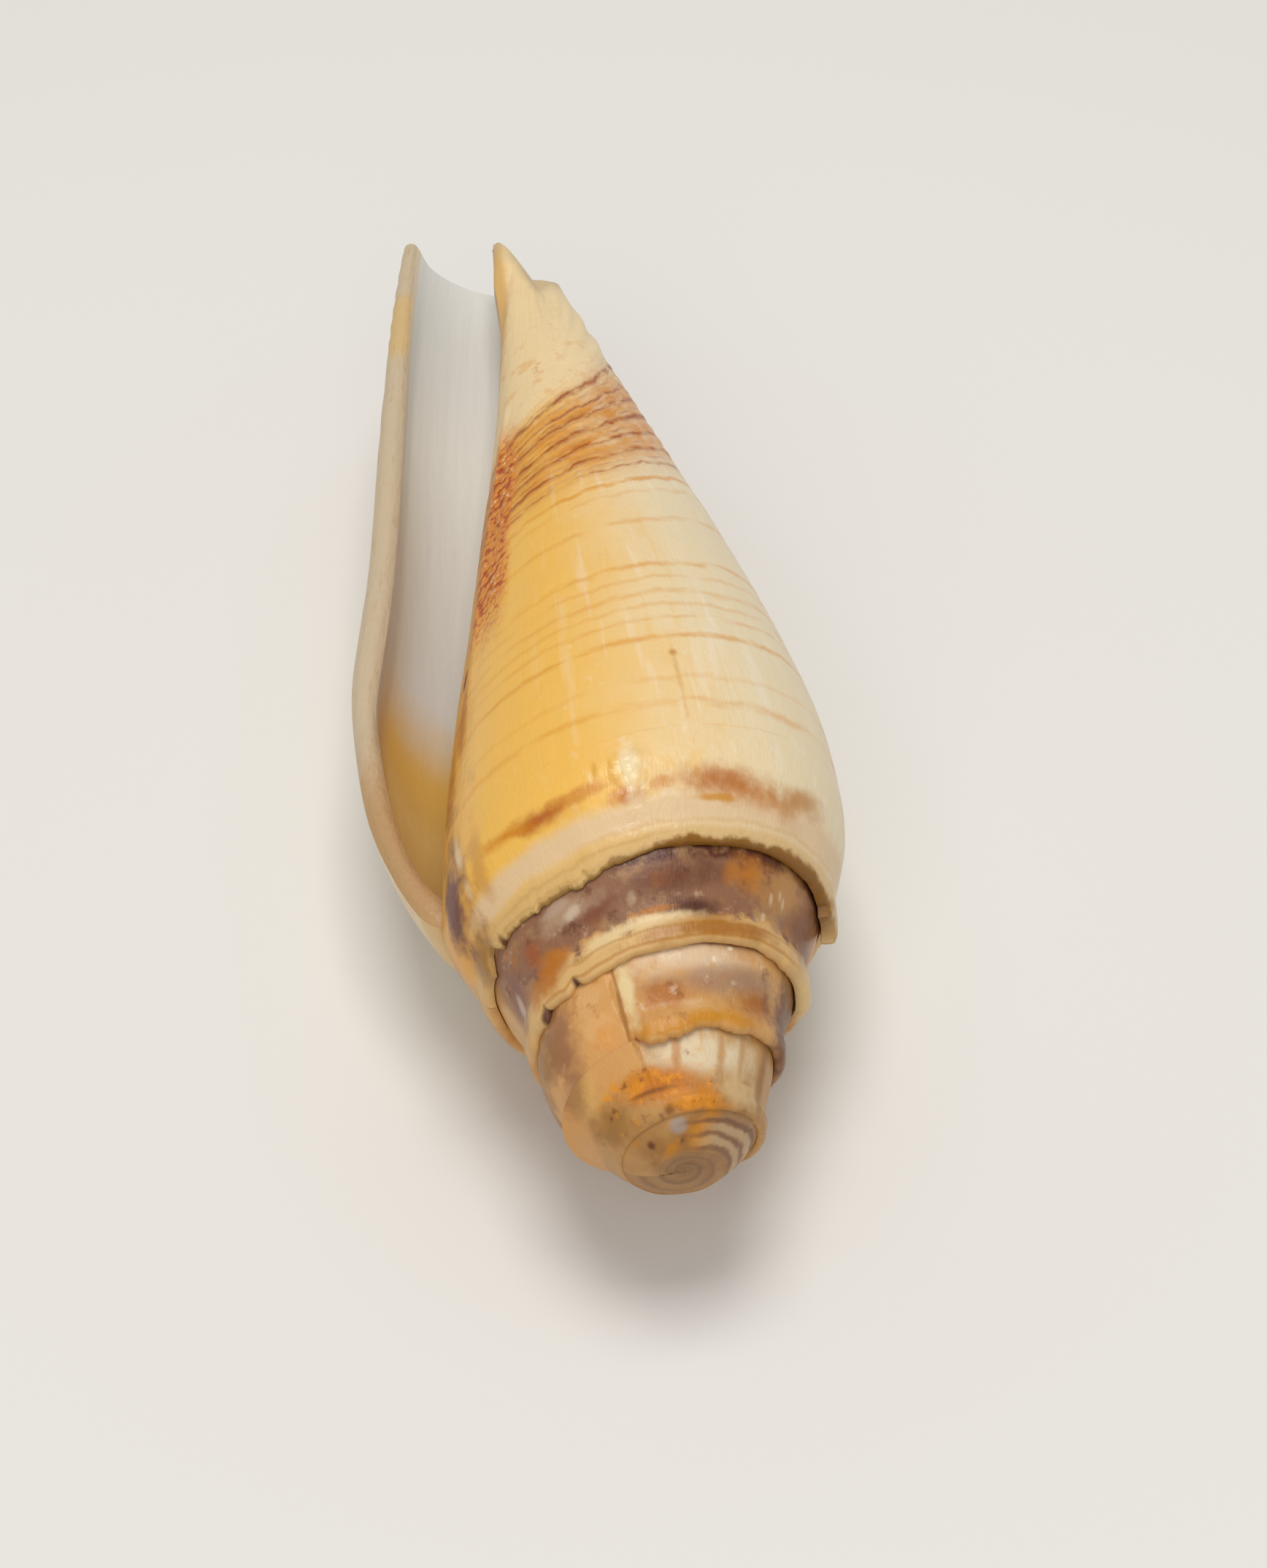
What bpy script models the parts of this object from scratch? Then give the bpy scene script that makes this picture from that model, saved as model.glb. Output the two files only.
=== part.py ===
"""A cone shell, lying on its back with the aperture up, as one closed solid.

Units are metres. The shell is first worked out about its own axis: the radius and the
distance along the axis from the apex, as functions of the turn. Turn 0 is the outer lip,
turn -1 is one whorl earlier, and so on back to the apex. The finished mesh is then laid
on its rest spot.
"""

import math

import bmesh
import bpy
import numpy as np
from mathutils import Matrix, Vector

MM = 0.001

# Growth of the suture, the seam where each whorl meets the one before it
WHORLS = 5
SUTURE_RADIUS = 8.7 * MM
SUTURE_REACH = 14.3 * MM
RADIUS_GROWTH = (0.229, -0.0145)
REACH_GROWTH = (0.273, -0.054)
# The spire's blunt tip: whorls older than these close in faster, along the axis and across it
REACH_ROUNDING_TURN = -2.6
REACH_ROUNDING = 0.71
RADIUS_ROUNDING_TURN = -3.6
RADIUS_ROUNDING = 0.25

# Last whorl at one turn, half a turn and no turn behind the lip
SHOULDER_RADIUS = (SUTURE_RADIUS, 9.91 * MM, 11.93 * MM)
SHOULDER_REACH = (SUTURE_REACH, 19.32 * MM, 26.2 * MM)
FOOT_RADIUS = (1.4 * MM, 1.10 * MM, 6.51 * MM)
FLANK_SWELL = (-0.248, 0.351, 0.06)
FLANK_SHIFT = (0.304, 0.188, -0.35)
SHOULDER_SWELL = 1.8
SHOULDER_LENGTH = 0.08

# Anterior end: the columella's tip, the drop beside it and the lip's own tip
TIP_REACH = 59.4 * MM
SIDE_DROP = 5.35 * MM
DROP_TURN = 0.15
TIP_CAP_DROP = 1.4 * MM
LIP_TIP_RISE = 0.6 * MM
LIP_TIP_TURN = 0.02
CORE_DROP = 15.0 * MM
CORE_DROP_POWER = 1.5
CORE_SHRINK = 0.5

# Spire whorls are flatter than the last one, and each has a raised rim at its suture
ROUND_TURNS = (-4, -2, -1.4, -1, 0)
ROUNDNESS = (0.6, 0.3, 0.3, 0.75, 0.82)
RIM_HEIGHT = 0.35 * MM
RIM_WIDTH = 0.16

# Swollen old lip on the spire
LOBE_EDGE = -2.87
LOBE_LENGTH = 0.5
LOBE_HEIGHT = 0.75 * MM
LOBE_SLANT = (0.8, -0.6)

# Wall and cavity
WALL = 1.0 * MM
WALL_AT_TIP = 0.6 * MM
CAVITY_TURNS = 0.9
SLOT_TURN = -0.36
SLOT_BLEND = 0.08
CAVITY_RISE = 13.0 * MM
CAVITY_RISE_TURN = 0.12
CLOSE_POWER = 8

# Mesh resolution
STEPS = 50
RAMP_ROWS = 6
EDGE_ROWS = 3
FLANK_ROWS = 14
WELD = 0.002 * MM
SHARP_ANGLE = math.radians(40)

# Rest: the turn that faces down, the tilt of the axis, and the depth of the flat spot
DOWN_TURN = -0.2347
TILT = math.radians(-5.0)
SPOT_DEPTH = 0.25 * MM

SHELL_COLOUR = (0.80, 0.58, 0.30, 1.0)
SHELL_ROUGHNESS = 0.35


def through(values, turn):
    """The parabola through three values, at one turn, half a turn and no turn behind the lip."""
    first, middle, last = values
    step = 2 * (turn + 1)
    return first * (step - 1) * (step - 2) / 2 - middle * step * (step - 2) + last * step * (step - 1) / 2


def suture(turn):
    """Radius and reach of the suture."""
    narrow = RADIUS_ROUNDING * np.minimum(turn - RADIUS_ROUNDING_TURN, 0) ** 2
    blunt = REACH_ROUNDING * np.minimum(turn - REACH_ROUNDING_TURN, 0) ** 2
    radius_power = RADIUS_GROWTH[0] * turn + RADIUS_GROWTH[1] * turn**2 - narrow
    reach_power = REACH_GROWTH[0] * turn + REACH_GROWTH[1] * turn**2 - blunt
    return SUTURE_RADIUS * np.exp(radius_power), SUTURE_REACH * np.exp(reach_power)


def shoulder(turn):
    """Radius and reach of the shoulder. On the spire it is the next whorl's suture."""
    spire_radius, spire_reach = suture(np.minimum(turn, -1) + 1)
    last = np.maximum(turn, -1)
    radius = np.where(turn < -1, spire_radius, through(SHOULDER_RADIUS, last))
    reach = np.where(turn < -1, spire_reach, through(SHOULDER_REACH, last))
    return radius, reach


def foot(turn):
    """Radius and reach of a whorl's anterior end."""
    last = np.maximum(turn, -1)
    older = np.maximum(-1 - turn, 0)
    radius = through(FOOT_RADIUS, last) * np.exp(-CORE_SHRINK * older)
    side = SIDE_DROP * (1 - np.exp(-(last + 1) / DROP_TURN)) * (1 - (last + 1) ** 3) ** 2
    rise = LIP_TIP_RISE * np.exp(-((last / LIP_TIP_TURN) ** 2))
    reach = TIP_REACH - side + rise - CORE_DROP * older**CORE_DROP_POWER
    return radius, reach


def flank(turn, reach):
    """Radius of a whorl's side between its shoulder and its foot."""
    top_radius, top_reach = shoulder(turn)
    foot_radius, foot_reach = foot(turn)
    last = np.maximum(turn, -1)
    share = np.clip((reach - top_reach) / (foot_reach - top_reach), 0, 1)
    swell = through(FLANK_SWELL, last) * share * (1 - share)
    shift = through(FLANK_SHIFT, last) * share * (1 - share) * (1 - 2 * share)
    round_top = SHOULDER_SWELL * (last + 1) ** 2 * share * np.exp(-share / SHOULDER_LENGTH)
    return foot_radius + (top_radius - foot_radius) * (1 - share + swell + shift + round_top)


def lobe(turn, share):
    """How far the swollen old lip stands out, on its own whorl and on the one it spreads over."""
    behind = (LOBE_EDGE - turn) / LOBE_LENGTH
    over = (LOBE_EDGE - turn - 1) / LOBE_LENGTH
    own = np.where((behind > 0) & (behind < 1), np.cos(behind * math.pi / 2) ** 2, 0)
    spread = np.where((over > 0) & (over < 1), np.cos(over * math.pi / 2) ** 2, 0)
    return LOBE_HEIGHT * (own * (1 - share**4) + spread * share**2)


def ramp(turn, share):
    """Radius and reach between the suture, share 0, and the shoulder, share 1."""
    start_radius, start_reach = suture(turn)
    end_radius, end_reach = shoulder(turn)
    angle = share * math.pi / 2
    full = np.interp(turn, ROUND_TURNS, ROUNDNESS)
    out = full * np.sin(angle) + (1 - full) * share
    along = full * (1 - np.cos(angle)) + (1 - full) * share
    rim = RIM_HEIGHT * np.clip(turn + 4, 0, 1) * np.sin(math.pi * np.minimum(share / (2 * RIM_WIDTH), 1))
    swell = lobe(turn, share)
    radius = start_radius + (end_radius - start_radius) * out + LOBE_SLANT[0] * swell
    reach = start_reach + (end_reach - start_reach) * along + LOBE_SLANT[1] * swell - rim
    return radius, reach


def outside(turn):
    """Rows of the last whorl's outer surface, from the suture to the anterior end."""
    shares = np.linspace(0, 1, RAMP_ROWS + 1)
    rows = [ramp(turn, share) for share in shares]
    _, top = shoulder(turn)
    _, end = foot(turn)
    for step in range(1, EDGE_ROWS + 1):
        reach = top + WALL * step / EDGE_ROWS
        rows.append((flank(turn, reach), reach))
    for step in range(1, FLANK_ROWS + 1):
        reach = top + WALL + (end - top - WALL) * step / FLANK_ROWS
        rows.append((flank(turn, reach), reach))
    return rows


def core_end(turn):
    """Where the cavity ends on the core, seen from the whorl that lies over it."""
    _, end = foot(turn - 1)
    slot_end = foot(SLOT_TURN - 1)[1]
    deeper = np.maximum(SLOT_TURN - turn, 0)
    closed = slot_end - CAVITY_RISE * (1 - np.exp(-deeper / CAVITY_RISE_TURN))
    reach = np.where(turn < SLOT_TURN, closed, end)
    return flank(turn - 1, reach), reach


def core(turn):
    """Rows of the core's surface inside the cavity, under the whorl at this turn."""
    _, top = suture(turn)
    _, end = core_end(turn)
    rows = []
    for step in range(FLANK_ROWS + 1):
        reach = top + WALL + (end - top - WALL) * step / FLANK_ROWS
        rows.append((flank(turn - 1, reach), reach))
    return rows


def wall_at(share):
    """Wall thickness, from the shoulder, share 0, to the anterior end, share 1."""
    return WALL + (WALL_AT_TIP - WALL) * share**2


def inside(turn):
    """Rows of the wall's inner face, matched to the rows of outside."""
    start_radius, start_reach = suture(turn)
    top_radius, top_reach = shoulder(turn)
    root_reach = start_reach + WALL
    root = (flank(turn - 1, root_reach), root_reach)
    rows = []
    for step in range(RAMP_ROWS + 1):
        angle = step / RAMP_ROWS * math.pi / 2
        radius = start_radius + (top_radius - start_radius - WALL) * np.sin(angle)
        reach = top_reach - (top_reach - start_reach - WALL) * np.cos(angle)
        radius = radius + (root[0] - start_radius) * (1 - step / RAMP_ROWS) ** 2
        rows.append((radius, reach))
    rim_radius, rim_reach = foot(turn)
    core_radius, core_reach = core_end(turn)
    opening = np.clip((turn - SLOT_TURN) / SLOT_BLEND, 0, 1)
    end_radius = core_radius + (rim_radius - WALL_AT_TIP - core_radius) * opening
    end_reach = core_reach + (rim_reach - core_reach) * opening
    edge_share = WALL / (rim_reach - top_reach)
    shares = [edge_share * step / EDGE_ROWS for step in range(1, EDGE_ROWS + 1)]
    shares += [edge_share + (1 - edge_share) * step / FLANK_ROWS for step in range(1, FLANK_ROWS + 1)]
    for share in shares:
        reach = top_reach + (end_reach - top_reach) * share
        radius = flank(turn, reach) - wall_at(share)
        last_radius = flank(turn, end_reach) - WALL_AT_TIP
        rows.append((radius + (end_radius - last_radius) * share**CLOSE_POWER, reach))
    return rows


def around(turn, radius, reach):
    """A point of the shell's own frame: clockwise growth seen from the apex."""
    angle = 2 * math.pi * turn
    return Vector((float(radius) * math.cos(angle), float(radius) * math.sin(angle), float(reach)))


def grid(mesh, columns, flip=False):
    """Quads over columns of points. Columns share vertices later, when doubles are merged."""
    verts = [[mesh.verts.new(point) for point in column] for column in columns]
    for left, right in zip(verts, verts[1:]):
        for row in range(len(left) - 1):
            corners = [left[row], left[row + 1], right[row + 1], right[row]]
            if flip:
                corners.reverse()
            mesh.faces.new(corners)


def fan(mesh, loop, centre):
    """Triangles from a loop of points to its centre."""
    verts = [mesh.verts.new(point) for point in loop]
    middle = mesh.verts.new(centre)
    for first, second in zip(verts, verts[1:] + verts[:1]):
        mesh.faces.new([first, second, middle])


def turns_between(first, last):
    """Turns on the shared grid, first and last included."""
    return [step / STEPS for step in range(round(first * STEPS), round(last * STEPS) + 1)]


def column(turn, rows):
    """The points of one column of rows."""
    return [around(turn, radius, reach) for radius, reach in rows]


def rounded(outer, inner, outward, steps):
    """A rounded edge between two points, bulging along outward by half its width."""
    half = (outer - inner).length / 2
    points = []
    for step in range(steps + 1):
        share = step / steps
        bulge = outward * half * math.sin(math.pi * share)
        points.append(outer.lerp(inner, share) + bulge)
    return points


def add_spire(mesh):
    """The whorls before the last one, and the fan that closes the apex."""
    shares = np.linspace(0, 1, RAMP_ROWS + 1)
    columns = []
    for turn in turns_between(-WHORLS, -1):
        columns.append(column(turn, [ramp(turn, share) for share in shares]))
    grid(mesh, columns)
    start = [points[0] for points in columns[: STEPS + 1]]
    loop = start + list(reversed(columns[0]))[1:-1]
    fan(mesh, loop, Vector((0, 0, 0)))


def add_last_whorl(mesh):
    """The last whorl's outer face, its inner face and the core under it."""
    last = turns_between(-1, 0)
    cavity = turns_between(-CAVITY_TURNS, 0)
    grid(mesh, [column(turn, outside(turn)) for turn in last])
    grid(mesh, [column(turn, inside(turn)) for turn in cavity], flip=True)
    grid(mesh, [column(turn, core(turn)) for turn in cavity])
    deep = -CAVITY_TURNS
    wall = column(deep, inside(deep))
    middle = column(deep, core(deep))
    loop = wall + list(reversed(middle))[1:-1]
    mesh.faces.new([mesh.verts.new(point) for point in loop])


def lip_edge():
    """Columns across the outer lip's edge, one for each row."""
    outer = column(0, outside(0))
    inner = column(0, inside(0))
    forward = Vector((0, 1, 0))
    tip = Vector((0, 0.7, 0.7))
    columns = []
    for row, (first, second) in enumerate(zip(outer, inner)):
        share = row / (len(outer) - 1)
        lean = forward.lerp(tip, share**12)
        columns.append(rounded(first, second, lean * min(1, row / 4), EDGE_ROWS))
    root_reach = suture(0)[1]
    steps = [root_reach + WALL * step / EDGE_ROWS for step in range(EDGE_ROWS + 1)]
    columns[0] = [around(0, flank(-1, reach), reach) for reach in steps]
    return columns


def anterior_edge():
    """Columns across the anterior rim, from the lip's tip back to the end of the slot."""
    columns = []
    for turn in reversed(turns_between(SLOT_TURN, 0)):
        outer = column(turn, outside(turn))[-1]
        inner = column(turn, inside(turn))[-1]
        columns.append(rounded(outer, inner, Vector((0, 0, 1)), EDGE_ROWS))
    columns[0] = lip_edge()[-1]
    return columns


def add_edges(mesh):
    """The rounded lip, the rounded anterior rim and the cap on the columella's tip."""
    grid(mesh, lip_edge(), flip=False)
    rim = anterior_edge()
    grid(mesh, rim)
    tip = [column(turn, outside(turn))[-1] for turn in turns_between(-1, SLOT_TURN)]
    back = [column(turn, core(turn))[-1] for turn in turns_between(SLOT_TURN, 0)]
    loop = tip + rim[-1][1:-1] + back[:-1]
    fan(mesh, loop, Vector((0, 0, TIP_REACH - TIP_CAP_DROP)))


def rest_rotation():
    """Rotation that lays the shell on its back, its apex towards -Y and its aperture up."""
    roll = 2 * math.pi * DOWN_TURN
    flat = math.cos(TILT)
    up = Vector((-flat * math.cos(roll), -flat * math.sin(roll), -math.sin(TILT)))
    axis = Vector((0, 0, 1))
    along = (axis - up * axis.dot(up)).normalized()
    return Matrix((along.cross(up), along, up))


def settle(mesh):
    """Lay the shell down, cut its flat rest spot and put the origin under its middle."""
    bmesh.ops.rotate(mesh, verts=mesh.verts, cent=(0, 0, 0), matrix=rest_rotation())
    floor = min(vert.co.z for vert in mesh.verts) + SPOT_DEPTH
    whole = mesh.verts[:] + mesh.edges[:] + mesh.faces[:]
    cut = bmesh.ops.bisect_plane(
        mesh, geom=whole, dist=WELD, plane_co=(0, 0, floor), plane_no=(0, 0, 1), clear_inner=True
    )
    rim = [item for item in cut["geom_cut"] if isinstance(item, bmesh.types.BMEdge)]
    bmesh.ops.contextual_create(mesh, geom=rim)
    low = [min(vert.co[axis] for vert in mesh.verts) for axis in range(3)]
    high = [max(vert.co[axis] for vert in mesh.verts) for axis in range(3)]
    middle = Vector(((low[0] + high[0]) / 2, (low[1] + high[1]) / 2, low[2]))
    bmesh.ops.translate(mesh, verts=mesh.verts, vec=-middle)


def shell_material():
    """The warm cream of the shell's outside."""
    material = bpy.data.materials.new("shell_cream")
    material.use_nodes = True
    surface = material.node_tree.nodes["Principled BSDF"]
    surface.inputs["Base Color"].default_value = SHELL_COLOUR
    surface.inputs["Roughness"].default_value = SHELL_ROUGHNESS
    surface.inputs["Metallic"].default_value = 0.0
    material.diffuse_color = SHELL_COLOUR
    return material


def build_shell():
    """The shell as one closed mesh object."""
    mesh = bmesh.new()
    add_spire(mesh)
    add_last_whorl(mesh)
    add_edges(mesh)
    bmesh.ops.remove_doubles(mesh, verts=mesh.verts, dist=WELD)
    settle(mesh)
    bmesh.ops.recalc_face_normals(mesh, faces=mesh.faces)
    data = bpy.data.meshes.new("shell")
    mesh.to_mesh(data)
    mesh.free()
    data.shade_smooth()
    data.set_sharp_from_angle(angle=SHARP_ANGLE)
    data.materials.append(shell_material())
    return bpy.data.objects.new("shell", data)


def main():
    """Clear the scene and build the part."""
    for item in list(bpy.data.objects):
        bpy.data.objects.remove(item)
    collection = bpy.data.collections.new("cone_shell")
    bpy.context.scene.collection.children.link(collection)
    collection.objects.link(build_shell())


main()
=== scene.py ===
"""Looks of a cone shell lying on its back with the aperture up.

The shell is worked out in millimetres about its own axis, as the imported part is. A turn of 0 is
the outer lip, -1 is one whorl earlier, and -5 is the apex. "Along" runs from 0 at the suture to 1
at the shoulder and on to 2 at the anterior end. It is below 0 on the cap of the apex. Both are
kept on the mesh, so that every marking is placed by them.
"""

import logging
import math
from dataclasses import dataclass, field
from enum import Enum
from typing import Sequence, Union

import bmesh
import bpy
import numpy as np
from mathutils import Matrix, Vector, noise


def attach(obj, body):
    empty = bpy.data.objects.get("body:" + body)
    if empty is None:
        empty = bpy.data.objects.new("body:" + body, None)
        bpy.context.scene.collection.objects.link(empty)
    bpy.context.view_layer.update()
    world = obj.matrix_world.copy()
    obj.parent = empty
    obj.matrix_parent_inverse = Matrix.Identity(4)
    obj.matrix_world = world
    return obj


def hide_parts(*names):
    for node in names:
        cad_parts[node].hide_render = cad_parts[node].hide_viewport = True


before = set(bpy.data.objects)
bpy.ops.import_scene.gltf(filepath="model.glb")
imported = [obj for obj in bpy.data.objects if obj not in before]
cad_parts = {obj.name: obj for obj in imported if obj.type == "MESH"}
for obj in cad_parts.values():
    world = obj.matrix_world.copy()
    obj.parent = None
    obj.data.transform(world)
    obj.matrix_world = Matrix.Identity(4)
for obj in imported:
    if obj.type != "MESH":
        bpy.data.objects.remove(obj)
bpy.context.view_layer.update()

MM = 0.001
NODE = "shell"
BODY = "root"
LOG = logging.getLogger("cone_shell")

# A spiral line's turn of reference, its climb and how lines draw apart, per turn
LINE_TURN, LINE_CLIMB, LINE_SPREAD = -0.7, 0.113, 0.874

Array = np.ndarray
Pair = tuple[Array, Array]
Row = tuple[float, float]
Triple = tuple[float, float, float]
Colour = Triple
Socket = bpy.types.NodeSocket
Number = Union[float, "Wire"]
Paint = Union[Colour, Socket]


def ease(value: Array, low: float, high: float) -> Array:
    """A smooth step from 0 at low to 1 at high.

    Args:
        value: Numbers to step.
        low: Where the step starts.
        high: Where it ends. It may be less than low.

    Returns:
        The stepped numbers.
    """
    share = np.clip((value - low) / (high - low), 0, 1)
    return share * share * (3 - 2 * share)


def hump(value: Array, centre: float, width: float) -> Array:
    """A bell of height 1 at centre.

    Args:
        value: Numbers to weigh.
        centre: The middle of the bell.
        width: How far from it the bell falls to about a third.

    Returns:
        The weights.
    """
    return np.exp(-(((value - centre) / width) ** 2))


def tint(code: str) -> Colour:
    """The linear colour of a six-digit screen colour.

    Args:
        code: Red, green and blue as hexadecimal pairs.

    Returns:
        The colour as light, less what the gloss adds to each part.
    """
    gain, shine, darkest = 1.02, 0.03, 0.004
    parts = [int(code[at : at + 2], 16) / 255 for at in (0, 2, 4)]
    light = [
        part / 12.92 if part <= 0.04045 else ((part + 0.055) / 1.055) ** 2.4 for part in parts
    ]
    return tuple(max(part * gain - shine, darkest) for part in light)


def spiral_line(turn: "Array | Wire", share: "Array | Wire") -> "Array | Wire":
    """The share of the flank that a spiral line keeps as it goes round.

    Args:
        turn: The turn.
        share: The share of the flank, 0 at the shoulder and 1 at the anterior end.

    Returns:
        The share that the line through the place has at LINE_TURN.
    """
    later = turn - LINE_TURN
    return (share + later * LINE_CLIMB) / (later * LINE_SPREAD + 1)


def put(name: str, data: bpy.types.ID) -> bpy.types.Object:
    """Makes an object of some data and links it to the scene."""
    thing = bpy.data.objects.new(name, data)
    bpy.context.scene.collection.objects.link(thing)
    return thing


def aimed(place: Vector, way: Vector) -> Matrix:
    """Where a camera or lamp stands when it looks a way from a place."""
    return Matrix.Translation(place) @ way.to_track_quat("-Z", "Y").to_matrix().to_4x4()


class Face(Enum):
    """The part of the surface that a strip of faces belongs to, with its material slot."""

    LAST = 0
    THIRD = 1
    SECOND = 2
    FIRST = 3
    EDGE = 4
    CORE = 5


@dataclass(frozen=True)
class Growth:
    """The spiral that the shell grows along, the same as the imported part's, in millimetres."""

    whorls: int = 5
    suture_radius: float = 8.7
    suture_reach: float = 14.3
    radius_growth: Row = (0.229, -0.0145)
    reach_growth: Row = (0.273, -0.054)
    blunt_turn: float = -2.6
    blunt: float = 0.71
    narrow_turn: float = -3.6
    narrow: float = 0.25
    shoulder_radius: Triple = (8.7, 9.91, 11.93)
    shoulder_reach: Triple = (14.3, 19.32, 26.2)
    foot_radius: Triple = (1.4, 1.10, 6.51)
    flank_swell: Triple = (-0.248, 0.351, 0.06)
    flank_shift: Triple = (0.304, 0.188, -0.35)
    shoulder_swell: float = 1.8
    shoulder_length: float = 0.08
    tip_reach: float = 59.4
    tip_cap_drop: float = 3.8
    side_drop: float = 5.35
    drop_turn: float = 0.15
    tip_shape: tuple[Triple, ...] = ((0.6, -1, 0.02), (-0.5, -0.92, 0.055), (0.45, -0.68, 0.09))
    root_sink: float = 0.8
    lip_tip_rise: float = 0.6
    lip_tip_turn: float = 0.02
    core_drop: float = 15.0
    core_drop_power: float = 1.5
    core_shrink: float = 0.5
    round_turns: tuple[float, ...] = (-4.5, -3.9, -3.3, -2, -1.4, -1, 0)
    roundness: tuple[float, ...] = (0.15, 0.3, 0.5, 0.3, 0.3, 0.75, 0.82)
    wall: float = 1.0
    wall_at_tip: float = 0.6
    cavity_turns: float = 0.9
    slot_turn: float = -0.36
    slot_blend: float = 0.08
    cavity_rise: float = 13.0
    cavity_rise_turn: float = 0.12
    close_power: int = 8
    lip_extra: float = 0.35
    lip_turn: float = 0.035

    @staticmethod
    def through(values: Sequence[float], turn: Array) -> Array:
        """The parabola through three values, at one turn, half a turn and no turn behind the lip.

        Args:
            values: The three values.
            turn: Turns to work it out at.

        Returns:
            The value at each turn.
        """
        first, middle, last = values
        step = 2 * (turn + 1)
        ends = first * (step - 1) * (step - 2) / 2 - middle * step * (step - 2)
        return ends + last * step * (step - 1) / 2

    def suture(self, turn: Array) -> Pair:
        """Radius and reach of the seam between a whorl and the one before it.

        Args:
            turn: Turns, one per column.

        Returns:
            The radii and the reaches.
        """
        narrow = self.narrow * np.minimum(turn - self.narrow_turn, 0) ** 2
        blunt = self.blunt * np.minimum(turn - self.blunt_turn, 0) ** 2
        radius = self.radius_growth[0] * turn + self.radius_growth[1] * turn**2 - narrow
        reach = self.reach_growth[0] * turn + self.reach_growth[1] * turn**2 - blunt
        return self.suture_radius * np.exp(radius), self.suture_reach * np.exp(reach)

    def shoulder(self, turn: Array) -> Pair:
        """Radius and reach of the shoulder, which on the spire is the next whorl's suture.

        Args:
            turn: Turns, one per column.

        Returns:
            The radii and the reaches.
        """
        spire_radius, spire_reach = self.suture(np.minimum(turn, -1) + 1)
        last = np.maximum(turn, -1)
        radius = np.where(turn < -1, spire_radius, self.through(self.shoulder_radius, last))
        reach = np.where(turn < -1, spire_reach, self.through(self.shoulder_reach, last))
        return radius, reach

    def foot(self, turn: Array) -> Pair:
        """Radius and reach of a whorl's anterior end.

        Args:
            turn: Turns, one per column.

        Returns:
            The radii and the reaches.
        """
        last = np.maximum(turn, -1)
        older = np.maximum(-1 - turn, 0)
        radius = self.through(self.foot_radius, last) * np.exp(-self.core_shrink * older)
        fall = 1 - np.exp(-(last + 1) / self.drop_turn)
        drop = self.side_drop * fall * (1 - (last + 1) ** 3) ** 2
        for height, centre, width in self.tip_shape:
            drop = drop + height * hump(last, centre, width)
        rise = self.lip_tip_rise * hump(last, 0, self.lip_tip_turn)
        return radius, self.tip_reach - drop + rise - self.core_drop * older**self.core_drop_power

    def flank(self, turn: Array, reach: Array) -> Array:
        """Radius of a whorl's side at a reach between its shoulder and its foot.

        Args:
            turn: Turns, one per column.
            reach: Reaches along the axis.

        Returns:
            The radii.
        """
        top_radius, top_reach = self.shoulder(turn)
        foot_radius, foot_reach = self.foot(turn)
        last = np.maximum(turn, -1)
        share = np.clip((reach - top_reach) / (foot_reach - top_reach), 0, 1)
        swell = self.through(self.flank_swell, last) * share * (1 - share)
        shift = self.through(self.flank_shift, last) * share * (1 - share) * (1 - 2 * share)
        top = self.shoulder_swell * (last + 1) ** 2 * share * np.exp(-share / self.shoulder_length)
        return foot_radius + (top_radius - foot_radius) * (1 - share + swell + shift + top)

    def ramp(self, turn: Array, share: Array) -> Pair:
        """Radius and reach between the suture, share 0, and the shoulder, share 1.

        Args:
            turn: Turns, one per column.
            share: Shares, one per row.

        Returns:
            The radii and the reaches.
        """
        start_radius, start_reach = self.suture(turn)
        end_radius, end_reach = self.shoulder(turn)
        angle = share * math.pi / 2
        full = np.interp(turn, self.round_turns, self.roundness)
        out = full * np.sin(angle) + (1 - full) * share
        on = full * (1 - np.cos(angle)) + (1 - full) * share
        reach = start_reach + (end_reach - start_reach) * on
        return start_radius + (end_radius - start_radius) * out, reach

    def side(self, turn: Array, share: Array) -> Pair:
        """Radius and reach on the flank, from the shoulder, share 0, to the foot, share 1.

        Args:
            turn: Turns, one per column.
            share: Shares, one per row.

        Returns:
            The radii and the reaches.
        """
        _, top = self.shoulder(turn)
        _, end = self.foot(turn)
        reach = top + (end - top) * share
        return self.flank(turn, reach), reach

    def core_end(self, turn: Array) -> Pair:
        """Where the cavity ends on the core, seen from the whorl that lies over it.

        Args:
            turn: Turns, one per column.

        Returns:
            The radii and the reaches.
        """
        _, end = self.foot(turn - 1)
        slot_end = self.foot(np.asarray(self.slot_turn - 1.0))[1]
        deeper = np.maximum(self.slot_turn - turn, 0)
        closed = slot_end - self.cavity_rise * (1 - np.exp(-deeper / self.cavity_rise_turn))
        reach = np.where(turn < self.slot_turn, closed, end)
        return self.flank(turn - 1, reach), reach

    def core(self, turn: Array, share: Array) -> Pair:
        """Radius and reach on the core inside the cavity, under the whorl at this turn.

        Args:
            turn: Turns, one per column.
            share: Shares, one per row.

        Returns:
            The radii and the reaches.
        """
        _, top = self.suture(turn)
        _, end = self.core_end(turn)
        reach = top + (end - top) * share
        return self.flank(turn - 1, reach), reach

    def thicker(self, turn: Array, share: Array) -> Array:
        """Extra thickness of the wall towards the lip, less near the anterior end."""
        less = 1 - 0.7 * np.maximum(share, 0) ** 6
        return self.lip_extra * ease(turn, -self.lip_turn, 0) * less

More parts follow.
